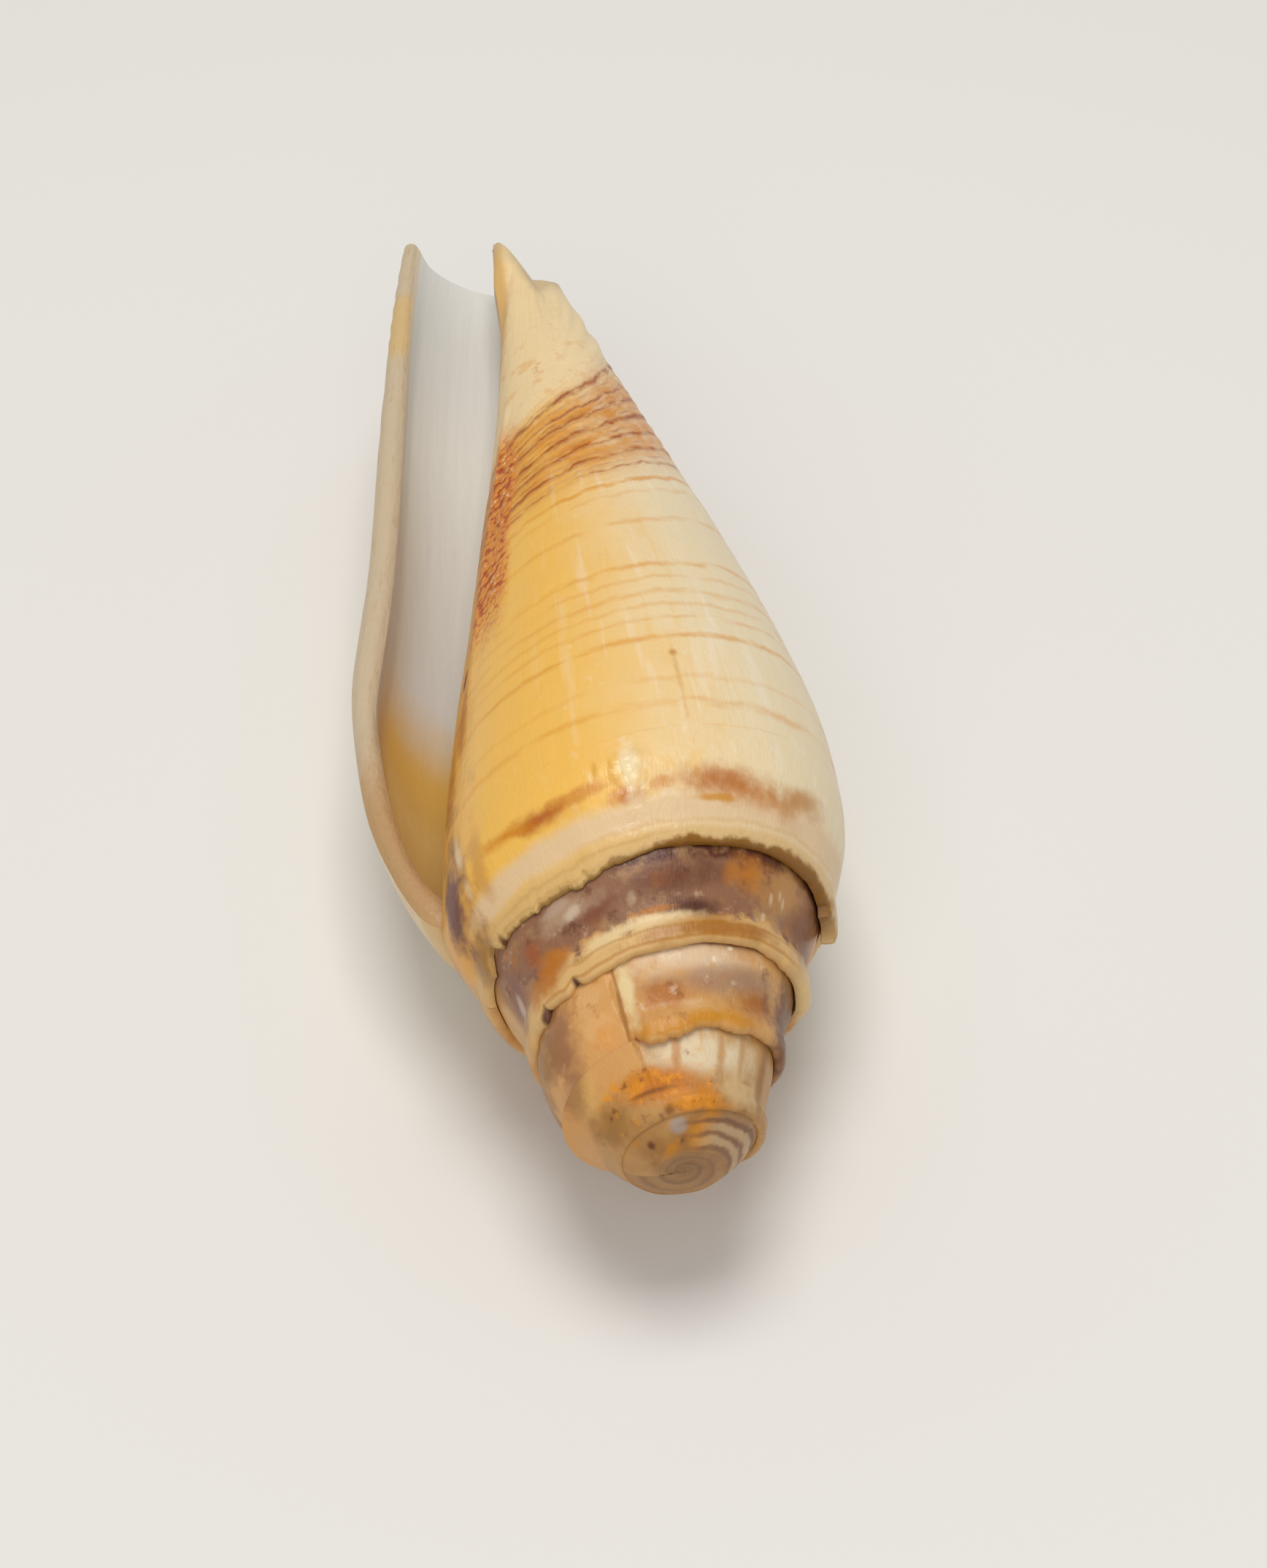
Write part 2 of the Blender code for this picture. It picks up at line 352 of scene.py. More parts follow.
    def inner_ramp(self, turn: Array, share: Array) -> Pair:
        """Radius and reach of the wall's inner face under the ramp.

        Args:
            turn: Turns, one per column.
            share: Shares, one per row.

        Returns:
            The radii and the reaches.
        """
        start_radius, start_reach = self.suture(turn)
        top_radius, top_reach = self.shoulder(turn)
        root_radius = self.flank(turn - 1, start_reach + self.wall)
        root_radius = root_radius - self.root_sink * ease(turn, -0.3, -0.05)
        angle = share * math.pi / 2
        wall = self.wall + self.thicker(turn, share * 0)
        radius = start_radius + (top_radius - start_radius - wall) * np.sin(angle)
        reach = top_reach - (top_reach - start_reach - wall) * np.cos(angle)
        return radius + (root_radius - start_radius) * (1 - share) ** 2, reach

    def inner_side(self, turn: Array, share: Array) -> Pair:
        """Radius and reach of the wall's inner face under the flank.

        Args:
            turn: Turns, one per column.
            share: Shares, one per row.

        Returns:
            The radii and the reaches.
        """
        _, top_reach = self.shoulder(turn)
        rim_radius, rim_reach = self.foot(turn)
        core_radius, core_reach = self.core_end(turn)
        opening = np.clip((turn - self.slot_turn) / self.slot_blend, 0, 1)
        end_radius = core_radius + (rim_radius - self.wall_at_tip - core_radius) * opening
        end_reach = core_reach + (rim_reach - core_reach) * opening
        reach = top_reach + (end_reach - top_reach) * share
        thickness = self.wall + (self.wall_at_tip - self.wall) * share**2
        last_radius = self.flank(turn, end_reach) - self.wall_at_tip
        radius = self.flank(turn, reach) - thickness - self.thicker(turn, share)
        return radius + (end_radius - last_radius) * share**self.close_power, reach


@dataclass(frozen=True)
class Seat:
    """How the shell's own frame stands in the part's frame."""

    down_turn: float = -0.2347
    tilt: float = math.radians(-5.0)
    apex: Triple = (0.96, -29.951, 8.644)

    def matrix(self) -> Matrix:
        """The move from the shell's own frame, in millimetres, to the part's, in metres."""
        roll = 2 * math.pi * self.down_turn
        flat = math.cos(self.tilt)
        up = Vector((-flat * math.cos(roll), -flat * math.sin(roll), -math.sin(self.tilt)))
        axis = Vector((0, 0, 1))
        along = (axis - up * axis.dot(up)).normalized()
        turn = Matrix((along.cross(up), along, up)).to_4x4()
        return Matrix.Scale(MM, 4) @ Matrix.Translation(self.apex) @ turn


@dataclass(frozen=True)
class Rim:
    """The raised edge of a whorl where it laps over the one before it.

    Each outline is a row of (turn, millimetres) points, oldest first.
    """

    share: float = 0.07
    fade: float = 0.38
    ragged: float = 0.26
    overhang: tuple[Row, ...] = (
        (-3.55, 0.0), (-3.45, 0.1), (-3.3, 0.1), (-3.15, 0.0), (-2.79, 0.0), (-2.77, 0.45),
        (-2.7, 0.35), (-2.6, 0.3), (-2.5, 0.25), (-2.2, 0.2), (-2.0, 0.25), (-1.93, 0.45),
        (-1.905, 0.55), (-1.9, 0.1), (-1.86, 0.5), (-1.845, 0.1), (-1.83, 0.55), (-1.76, 0.2),
        (-1.62, 0.1), (-1.57, 0.3), (-1.53, 0.5), (-1.47, 0.5), (-1.42, 0.3), (-1.2, 0.3),
        (-1.0, 0.4), (-0.95, 0.55), (-0.937, 0.0), (-0.93, -0.1), (-0.915, 0.6), (-0.86, 0.65),
        (-0.82, 0.7), (-0.78, 0.45), (-0.74, 0.3), (-0.7, 0.15), (-0.62, 0.2), (-0.56, 0.4),
        (-0.52, 0.9), (-0.49, 1.1), (-0.47, 0.4), (-0.2, 0.2), (0.0, 0.0),
    )
    lift: tuple[Row, ...] = (
        (-3.55, 0.0), (-3.45, 0.12), (-3.3, 0.12), (-3.15, 0.0), (-2.79, 0.0), (-2.77, 0.22),
        (-2.0, 0.16), (-1.6, 0.22), (-1.5, 0.4), (-1.42, 0.3), (-1.36, 0.2), (-1.0, 0.2),
        (-0.9, 0.13), (-0.78, 0.16), (-0.6, 0.32), (-0.52, 0.5), (-0.49, 0.6), (-0.46, 0.3),
        (-0.12, 0.05), (0.0, 0.0),
    )
    gap: float = 0.2
    root_sink: float = 0.6

    def outline(self, points: Sequence[Row], turn: Array) -> Array:
        """Reads an outline at each turn."""
        turns, sizes = zip(*points)
        return np.interp(turn, turns, sizes)

    @staticmethod
    def jag(turn: float) -> float:
        """Unevenness of the rim at a turn, rough in some stretches and smooth in others."""
        calm = 0.5 + 0.5 * min(max(noise.noise(Vector((turn * 9, 2.1, 0))) * 2.5, -0.8), 1)
        broad = noise.noise(Vector((turn * 24, 5.7, 0))) * 0.8
        return broad + calm * 0.6 * noise.fractal(Vector((turn * 75, 7.3, 0)), 0.7, 2.3, 2)

    def offset(self, turn: Array, share: Array) -> Pair:
        """How far the rim stands out from the ramp.

        Args:
            turn: Turns, one per column.
            share: Shares along the ramp, one per row.

        Returns:
            Millimetres back over the older whorl, and millimetres out from it.
        """
        jag = np.array([self.jag(float(at)) for at in turn.ravel()]).reshape(turn.shape)
        reach = self.outline(self.overhang, turn) * (1 + self.ragged * 3 * jag)
        rise = self.outline(self.lift, turn) * (1 + self.ragged * jag)
        under = ease(share, 0, self.share * 0.7)
        over = 1 - ease(share, self.share, self.fade)
        low = self.gap * ease(share, 0, self.share * 0.4)
        top = low + (1 - self.gap) * ease(share, self.share * 0.6, self.share * 1.5)
        back = reach * under * over
        return back, rise * top * (1 - ease(share, self.share * 1.5, self.fade))


@dataclass(frozen=True)
class Lobe:
    """The swollen old lip on the spire, from its step edge back round the shell."""

    edge: float = -2.793
    sway: float = 0.012
    step: float = 0.005
    lip: float = 0.38
    height: float = 0.62
    growth: float = 0.14
    fade: Row = (0.22, 0.5)
    fill: float = 0.7
    slant: Row = (0.8, -0.6)

    def profile(self, behind: Array) -> Array:
        """Height at a number of turns behind the edge."""
        height = self.lip + (self.height - self.lip) * ease(behind, 0, self.growth)
        return height * ease(behind, 0, self.step) * (1 - ease(behind, *self.fade))

    def height_at(self, turn: Array, share: Array) -> Array:
        """Millimetres that the lobe stands out, on its own whorl and the one it spreads over.

        Args:
            turn: Turns, one per column.
            share: Shares, one per row.

        Returns:
            The heights.
        """
        own = self.profile(self.edge - self.sway * share - turn)
        older = self.profile(self.edge + self.sway * (1 - share) * 2 - (turn + 1))
        own = own * (1 - share**4 + self.fill * np.exp(-share / 0.16) * (1 - share))
        return own + older * (share**2 + self.fill * np.exp(-(1 - share) / 0.2) * share)


@dataclass(frozen=True)
class Relief:
    """Everything that stands out from the smooth spiral, in millimetres along its normal.

    A groove and a hollow are given as a height, a share along the ramp and a width.
    """

    lobe: Lobe = Lobe()
    ledges: tuple[float, ...] = (0.15, 0.23, 0.31)
    ledge_height: float = 0.028
    ledge_width: float = 0.012
    ledge_wander: float = 0.09
    groove: Triple = (-0.06, 0.2, 0.02)
    hollow: Triple = (-0.12, 0.55, 0.2)
    cords: tuple[float, ...] = (0.745, 0.79, 0.835, 0.875, 0.915, 0.955)
    cord_height: float = 0.15
    cord_width: float = 0.013
    wave_height: float = 0.05
    wave_size: float = 5.0
    band_turn: float = -0.9
    band_height: float = 0.14
    fold_height: float = 0.5
    shelf_height: float = 0.2
    worn: float = -0.26
    line_height: float = 0.025
    line_pitch: float = 0.024
    scar: Row = (-0.772, 0.86)
    scar_size: Row = (0.014, 0.13)

    @staticmethod
    def wander(turn: Array, row: int) -> Array:
        """How a ledge strays from its level, by turn."""
        read = np.vectorize(lambda place: noise.noise(Vector((place * 26, row * 9.1, 4))))
        return read(turn)

    def on_ramp(self, turn: Array, share: Array) -> Array:
        """Relief between the suture and the shoulder.

        Args:
            turn: Turns, one per column.
            share: Shares, one per row.

        Returns:
            The heights.
        """
        body = ease(turn, -1.05, -0.95)
        ledge = 0
        for row, at in enumerate(self.ledges):
            wander = self.wander(turn, row)
            level = at + self.ledge_wander * wander
            depth = np.clip(0.7 + 2 * np.roll(wander, 40), 0, 2)
            ledge = ledge + depth * ease(share, level - self.ledge_width, level + self.ledge_width)
        ledge = -self.ledge_height * ledge * (1 - ease(share, 0.4, 0.7)) * body
        spire = ease(turn, -4.0, -3.6) * (1 - body)
        shelf = self.shelf_height * spire * (1 - ease(share, 0.22, 0.36))
        for depth, at, width in (self.groove, self.hollow):
            shelf = shelf + depth * spire * hump(share, at, width)
        clear = 1 - np.clip(self.lobe.height_at(turn, share) * 4, 0, 1)
        return ledge + shelf * clear + self.scar_height(turn, share)

    def blunt(self, turn: Array, share: Array) -> Array:
        """Filling of the seams between the worn first whorls."""
        above = ease(turn, -3.5, -3.95) * (1 - share) ** 2
        below = ease(turn, -4.5, -4.95) * share**2
        return self.worn * (above + below)

    def on_side(self, turn: Array, share: Array) -> Array:
        """Relief between the shoulder and the anterior end.

        Args:
            turn: Turns, one per column.
            share: Shares, one per row.

        Returns:
            The heights.
        """
        line = spiral_line(turn, share)
        cord = sum(hump(line, at, self.cord_width) for at in self.cords)
        cord = self.cord_height * cord * ease(turn, -0.78, -0.6) * (1 - ease(turn, -0.25, -0.05))
        cord = cord * ease(share, 0.99, 0.9)
        fine = self.line_height * np.sin(line * 2 * math.pi / self.line_pitch)
        fine = fine * ease(line, 0.5, 0.54) * (1 - ease(line, 0.7, 0.74))
        band = self.band_height * hump(turn, self.band_turn, 0.012) * ease(share, 0.15, 0.3)
        band = band * (1 - ease(share, 0.62, 0.75))
        behind = -0.9 - 0.5 * (1 - share) - turn
        fold = self.fold_height * ease(share, 0.8, 0.95) * ease(behind, 0, 0.07)
        raised = cord + fine * ease(turn, -0.95, -0.85) + band + fold
        return raised + self.scar_height(turn, 1 + share)

    def scar_height(self, turn: Array, along: Array) -> Array:
        """A small healed chip, a raised loop just above the shoulder.

        Args:
            turn: Turns, one per column.
            along: Shares along, one per row.

        Returns:
            The heights.
        """
        across = (turn - self.scar[0]) / self.scar_size[0]
        down = (along - self.scar[1]) / self.scar_size[1]
        ring = np.sqrt(across**2 + down**2)
        return 0.07 * hump(ring, 1.0, 0.22) * ease(down, 0.9, 0.2) - 0.03 * hump(ring, 0, 0.7)

    def waves(self, points: Array) -> Array:
        """Slow swells of the surface, read from the place in space so that they meet at seams."""
        flat = points.reshape(-1, 3) / self.wave_size
        heights = [noise.fractal(Vector(place), 0.6, 2.1, 3) for place in flat.tolist()]
        return self.wave_height * np.array(heights).reshape(points.shape[:-1])


@dataclass
class Sheet:
    """Grids of points that become one mesh, each with its turn, its share along and its kind."""

    points: list[Array] = field(default_factory=list)
    turns: list[Array] = field(default_factory=list)
    alongs: list[Array] = field(default_factory=list)
    quads: list[Array] = field(default_factory=list)
    kinds: list[Array] = field(default_factory=list)
    count: int = 0

    def add(
        self, points: Array, turn: Array, along: Array, face: Face, flip: bool = False
    ) -> None:
        """Adds a grid.

        Args:
            points: Columns by rows by 3.
            turn: The turn of each column, or of each point.
            along: The share along of each row, or of each point.
            face: The part of the surface it belongs to.
            flip: Whether its faces look the other way.
        """
        columns, rows = points.shape[:2]
        index = self.count + np.arange(columns * rows).reshape(columns, rows)
        corners = [index[:-1, :-1], index[:-1, 1:], index[1:, 1:], index[1:, :-1]]
        if flip:
            corners.reverse()
        quads = np.stack(corners, -1).reshape(-1, 4)
        self.points.append(points.reshape(-1, 3))
        self.turns.append(np.broadcast_to(turn, (columns, rows)).ravel())
        self.alongs.append(np.broadcast_to(along, (columns, rows)).ravel())
        self.quads.append(quads)
        self.kinds.append(np.full(len(quads), face.value))
        self.count += columns * rows

    def build(self, name: str, seat: Matrix, sharp: float) -> bpy.types.Object:
        """Joins the grids into one mesh object in the part's frame.

        Args:
            name: The object's name.
            seat: From the shell's own frame to the part's.
            sharp: Edges that turn by more than this many degrees stay crisp.

        Returns:
            The new object, linked to the scene.
        """
        turned = np.array(seat)
        places = np.concatenate(self.points) @ turned[:3, :3].T + turned[:3, 3]
        places[:, 2] = np.maximum(places[:, 2], 0)
        quads = np.concatenate(self.quads)
        data = bpy.data.meshes.new(name)
        data.from_pydata(places, [], quads.tolist())
        data.polygons.foreach_set("material_index", np.concatenate(self.kinds).astype(np.int32))
        for label, values in (("turn", self.turns), ("along", self.alongs)):
            layer = data.attributes.new(label, "FLOAT", "CORNER")
            corners = np.concatenate(values)[quads.ravel()]
            layer.data.foreach_set("value", corners.astype(np.float32))
        mesh = bmesh.new()
        mesh.from_mesh(data)
        bmesh.ops.remove_doubles(mesh, verts=mesh.verts, dist=0.0005 * MM)
        mesh.to_mesh(data)
        mesh.free()
        data.shade_smooth()
        data.set_sharp_from_angle(angle=math.radians(sharp))
        return put(name, data)


@dataclass
class Surfaces:
    """The shell's faces as grids of points in the shell's own frame."""

    growth: Growth = field(default_factory=Growth)
    rim: Rim = field(default_factory=Rim)
    relief: Relief = field(default_factory=Relief)
    steps: int = 320
    core_steps: int = 60
    rim_rows: int = 8
    ramp_rows: int = 18
    side_rows: int = 120
    edge_rows: int = 6
    cap_rings: int = 14
    smoothings: int = 60

    def turns(self, first: float, last: float) -> Array:
        """Turns on the shared grid as a column, first and last included."""
        start, stop = round(first * self.steps), round(last * self.steps)
        return (np.arange(start, stop + 1) / self.steps)[:, None]

    def ramp_shares(self) -> Array:
        """Shares along the ramp, closer together in the rim."""
        rim_end = self.rim.share * 1.5
        rim = np.linspace(0, rim_end, self.rim_rows + 1)[:-1]
        return np.concatenate([rim, np.linspace(rim_end, 1, self.ramp_rows + 1)])[None, :]

    def side_shares(self) -> Array:
        """Shares along the flank."""
        return np.linspace(0, 1, self.side_rows + 1)[None, :]

    @staticmethod
    def around(turn: Array, radius: Array, reach: Array) -> Array:
        """Points of the shell's own frame."""
        turn, radius, reach = np.broadcast_arrays(turn, radius, reach)
        angle = 2 * math.pi * turn
        return np.stack([radius * np.cos(angle), radius * np.sin(angle), reach], -1)

    @staticmethod
    def normals(points: Array) -> Array:
        """Outward normals of a grid whose columns go round and whose rows go down the shell."""
        normal = np.cross(np.gradient(points, axis=0), np.gradient(points, axis=1))
        return normal / np.maximum(np.linalg.norm(normal, axis=-1, keepdims=True), 1e-9)

    def rimmed_ramp(self, turn: Array) -> Pair:
        """Radius and reach of the ramp with its overhanging rim.

        Args:
            turn: Turns, one per column.

        Returns:
            The radii and the reaches.
        """
        share = self.ramp_shares()
        start = self.rim.share
        smooth = np.clip((share - start) / (1 - start), 0, 1)
        radius, reach = self.growth.ramp(turn, smooth)
        end_radius, end_reach = self.growth.ramp(turn - 1, np.ones_like(turn))
        near_radius, near_reach = self.growth.ramp(turn - 1, np.full_like(turn, 0.95))
        slope = np.hypot(end_radius - near_radius, end_reach - near_reach)
        out, down = (end_radius - near_radius) / slope, (end_reach - near_reach) / slope
        back, lift = self.rim.offset(turn, share)
        shown = ease(turn, -4.2, -3.8)
        sunk = self.rim.root_sink * ease(turn, -0.3, -0.08) * (1 - ease(share, 0, 0.12))
        radius = radius + shown * (down * lift - out * back) - sunk
        return radius, reach + shown * (-out * lift - down * back) + sunk * 0.7

    def ramp_points(self, turn: Array) -> Array:
        """The ramp with all its relief.

        Args:
            turn: Turns, one per column.

        Returns:
            Its points, columns by rows by 3.
        """
        radius, reach = self.rimmed_ramp(turn)
        points = self.around(turn, radius, reach)
        share = np.broadcast_to(self.ramp_shares(), radius.shape)
        spire_end = np.where(turn < -1, 1 - ease(share, 0.93, 1.0), 1)
        height = self.relief.on_ramp(turn, share) * ease(share, 0.02, 0.12) * spire_end
        swell = self.relief.lobe.height_at(turn, share) + self.relief.blunt(turn, share)
        swell = swell + self.relief.waves(points)
        points = points + self.normals(points) * height[..., None]
        out, down = self.relief.lobe.slant
        return points + self.around(turn, swell * out, swell * down)

    def side_points(self, turn: Array) -> Array:
        """The flank with all its relief.

        Args:
            turn: Turns, one per column.

        Returns:
            Its points, columns by rows by 3.
        """
        share = self.side_shares()
        radius, reach = self.growth.side(turn, share)
        points = self.around(turn, radius, reach)
        height = self.relief.on_side(turn, share) + self.relief.waves(points)
        return points + self.normals(points) * height[..., None]

    def outer(self, turn: Array) -> Array:
        """The last whorl's outer face, rounded over the shoulder.

        Args:
            turn: Turns, one per column.

        Returns:
            Its points, columns by rows by 3.
        """
        ramp, side = self.ramp_points(turn), self.side_points(turn)
        points = np.concatenate([ramp, side[:, 1:]], 1)
        along = self.outer_alongs()[0]
        near = hump(along, 1.0, 0.12)[None, 1:-1, None] * ease(turn, -1, -0.97)[:, :, None]
        for _ in range(self.smoothings):
            middle = (points[:, :-2] + points[:, 2:]) / 2
            points[:, 1:-1] += near * (middle - points[:, 1:-1])
        return points

    def outer_alongs(self) -> Array:
        """The share along of each row of the last whorl's outer face."""
        return np.concatenate([self.ramp_shares(), 1 + self.side_shares()[:, 1:]], 1)

    def inner(self, turn: Array) -> Array:
        """The wall's inner face, row by row under the outer face."""
        ramp = self.around(turn, *self.growth.inner_ramp(turn, self.ramp_shares()))
        side = self.around(turn, *self.growth.inner_side(turn, self.side_shares()))
        return np.concatenate([ramp, side[:, 1:]], 1)

    def core(self, turn: Array) -> Array:
        """The core's surface, which carries on from the last whorl's first column.

        Args:
            turn: Turns, one per column.

        Returns:
            Its points, columns by rows by 3.
        """
        share = self.side_shares()
        radius, reach = self.growth.core(turn, share)
        points = self.around(turn, radius, reach)
        height = self.relief.on_side(turn - 1, share) + self.relief.waves(points)
        height = height * ease(turn, -0.2, -0.05)
        return points + self.normals(points) * height[..., None]

    def rolled(self, outer: Array, inner: Array, outward: Array) -> Array:
        """A rounded edge between two rows of points.

        Args:
            outer: The edge's outer points.
            inner: Its inner points.
            outward: The way it bulges at each point.

        Returns:
            Rows across the edge.
        """
        share = np.linspace(0, 1, self.edge_rows + 1)[None, :, None]
        half = np.linalg.norm(outer - inner, axis=-1)[:, None, None] / 2
        bulge = np.sin(math.pi * share) ** 0.5 * half * 0.5
        return outer[:, None] * (1 - share) + inner[:, None] * share + bulge * outward[:, None]


@dataclass
class Outside:
    """The outer face of the whole shell, its lip, its anterior edge and its columella."""

    surfaces: Surfaces
    seat: Matrix
    name: str = "shell_outside"
    sharp: float = 50.0
    dome: float = 0.3

    def add_spire(self, sheet: Sheet) -> None:
        """The whorls before the last one and the closed apex.

        Args:
            sheet: The sheet to add them to.
        """
        shapes = self.surfaces
        turn = shapes.turns(-shapes.growth.whorls, -1)
        points = shapes.ramp_points(turn)
        for start, end, face in ((0, 2, Face.FIRST), (2, 3, Face.SECOND), (3, 4, Face.THIRD)):
            part = slice(start * shapes.steps, end * shapes.steps + 1)
            sheet.add(points[part], turn[part], shapes.ramp_shares(), face)
        first = points[: shapes.steps + 1, 0]
        closing = points[0, ::-1]
        loop = np.concatenate([first, closing[1:]])
        starts = turn[: shapes.steps + 1, 0]
        labels = np.concatenate([starts, np.full(len(closing) - 1, starts[0])])
        share = np.linspace(0, 1, shapes.cap_rings + 1)
        labels = labels[:, None] - 1
        rings = 0.03 * np.sin(share * 3 * 2 * math.pi) * np.sin(math.pi * share)
        self.add_cap(sheet, loop, labels, Vector((0, 0, 0.15)), -share, rings, Face.FIRST, True, 3)

    @staticmethod
    def add_cap(
        sheet: Sheet,
        loop: Array,
        turn: Array,
        centre: Vector,
        along: Array,
        rise: Array,
        face: Face,
        flip: bool = False,
        bend: float = 1.0,
    ) -> None:
        """Rings from a closed loop of points to its centre.

        Args:
            sheet: The sheet to add them to.
            loop: The outermost ring.
            turn: The turn of each of its points.
            centre: The point in the middle.
            along: The share along of each ring.
            rise: How far each ring is moved along the axis.
            face: The part of the surface.
            flip: Whether the faces look the other way.
            bend: How soon the rings reach the centre's height, 1 for a plain cone.
        """
        share = np.linspace(0, 1, len(rise))[None, :, None]
        points = loop[:, None] * (1 - share) + np.array(centre)[None, None] * share
        height = (loop[:, None, 2] - centre[2]) * (1 - share[..., 0]) ** bend
        points[..., 2] = centre[2] + height + rise
        sheet.add(points, turn, along[None], face, flip)

    def add_last_whorl(self, sheet: Sheet) -> None:
        """The last whorl's outer face and the core that carries on from it.

        Args:
            sheet: The sheet to add them to.
        """
        shapes = self.surfaces
        turn = shapes.turns(-1, 0)
        sheet.add(shapes.outer(turn), turn, shapes.outer_alongs(), Face.LAST)
        inside = np.linspace(-shapes.growth.cavity_turns, 0, shapes.core_steps + 1)[:, None]
        core = shapes.core(inside)
        core[-1] = shapes.outer(turn)[0, -core.shape[1] :]
        sheet.add(core, inside - 1, 1 + shapes.side_shares(), Face.CORE)

    def add_edges(self, sheet: Sheet) -> None:
        """The rounded lip and the rounded anterior edge.

        Args:
            sheet: The sheet to add them to.
        """
        shapes = self.surfaces
        zero = np.zeros((1, 1))
        outer, inner = shapes.outer(shapes.turns(-1, 0))[-1], shapes.inner(zero)[0]
        rows = np.arange(len(outer))
        lean = np.stack([rows * 0.0, rows * 0.0 + 1, 0.7 * (rows / rows[-1]) ** 12], -1)
        lean *= np.minimum(rows / (shapes.rim_rows * 2), 1)[:, None]
        lip = shapes.rolled(outer, inner, lean)
        across = np.linspace(0, 1, shapes.edge_rows + 1)[None, :]
        sheet.add(lip, across, shapes.outer_alongs().T, Face.EDGE)
        turn = shapes.turns(shapes.growth.slot_turn, 0)
        whole = shapes.outer(shapes.turns(-1, 0))
        outer, inner = whole[-len(turn) :, -1], shapes.inner(turn)[:, -1]
        up = np.tile(np.array([[0.0, 0.0, 1.0]]), (len(turn), 1))
        edge = shapes.rolled(outer, inner, up)
        edge[-1] = lip[-1]
        sheet.add(edge, across, np.full((len(turn), 1), 2.0), Face.EDGE, True)
        tip = whole[: shapes.steps + 1 - len(turn) + 1, -1]
        back = shapes.core(np.linspace(shapes.growth.slot_turn, 0, len(turn))[:, None])[:, -1]
        loop = np.concatenate([tip, edge[0, 1:], back[1:]])
        centre = Vector((0, 0, shapes.growth.tip_reach - shapes.growth.tip_cap_drop))
        share = np.linspace(0, 1, shapes.cap_rings + 1)
        dome = self.dome * (1 - (1 - share) ** 2)
        labels = np.full((len(loop), 1), -1.0)
        self.add_cap(sheet, loop, labels, centre, share * 0 + 2, dome, Face.LAST)

    def build(self) -> bpy.types.Object:
        """Builds the piece and returns it."""
        sheet = Sheet()
        self.add_spire(sheet)
        self.add_last_whorl(sheet)
        self.add_edges(sheet)
        return sheet.build(self.name, self.seat, self.sharp)


@dataclass
class Inside:
    """The smooth inner face of the last whorl's wall."""

    surfaces: Surfaces
    seat: Matrix
    name: str = "shell_inside"
    sharp: float = 60.0

    def build(self) -> bpy.types.Object:
        """Builds the piece and returns it."""
        shapes = self.surfaces
        turn = shapes.turns(-shapes.growth.cavity_turns, 0)
        sheet = Sheet()
        sheet.add(shapes.inner(turn), turn, shapes.outer_alongs(), Face.LAST, True)
        return sheet.build(self.name, self.seat, self.sharp)


class Wire:
    """A number in a material's node tree. Arithmetic on it adds Math nodes."""

    def __init__(self, nodes: "Nodes", socket: Socket) -> None:
        """Keeps the tree and the socket that the number comes from."""
        self.nodes = nodes
        self.socket = socket

    def maths(self, operation: str, *values: Number) -> "Wire":
        """A Math node on these values.

        Args:
            operation: The node's operation.
            values: Its values in order.

        Returns:
            Its result.
        """
        sockets = dict(enumerate(values))
        return self.nodes.value("ShaderNodeMath", {"operation": operation}, sockets)

    def __add__(self, other: Number) -> "Wire":
        """This plus other."""
        return self.maths("ADD", self, other)

    __radd__ = __add__

    def __mul__(self, other: Number) -> "Wire":
        """This times other."""
        return self.maths("MULTIPLY", self, other)

    __rmul__ = __mul__

    def __sub__(self, other: Number) -> "Wire":
        """This less other."""
        return self.maths("SUBTRACT", self, other)

    def __rsub__(self, other: Number) -> "Wire":
        """Other less this."""
        return self.maths("SUBTRACT", other, self)

    def __truediv__(self, other: Number) -> "Wire":
        """This over other."""
        return self.maths("DIVIDE", self, other)

    def __abs__(self) -> "Wire":
        """This without its sign."""
        return self.maths("ABSOLUTE", self)

    def least(self, other: Number) -> "Wire":
        """The smaller of the two."""
        return self.maths("MINIMUM", self, other)

    def most(self, other: Number) -> "Wire":
        """The larger of the two."""
        return self.maths("MAXIMUM", self, other)

    def root(self) -> "Wire":
        """Its square root."""
        return self.maths("SQRT", self)

    def sine(self) -> "Wire":
        """Its sine."""
        return self.maths("SINE", self)

    def ease(self, low: float, high: float) -> "Wire":
        """A smooth step from 0 at low to 1 at high, where high may be less than low.

        Args:
            low: Where the step starts.
            high: Where it ends.

        Returns:
            The stepped number.
        """
        if low > high:
            return 1 - self.ease(high, low)
        settings = {"interpolation_type": "SMOOTHSTEP"}
        sockets = {"Value": self, "From Min": low, "From Max": high}
        return self.nodes.value("ShaderNodeMapRange", settings, sockets)

    def near(self, centre: Number, width: float) -> "Wire":
        """1 at centre, falling smoothly to 0 at width from it."""
        return abs(self - centre).ease(width, 0)

    def between(self, low: float, high: float, soft: float) -> "Wire":
        """1 between low and high, with soft ends."""
        return self.ease(low - soft, low + soft) * self.ease(high + soft, high - soft)


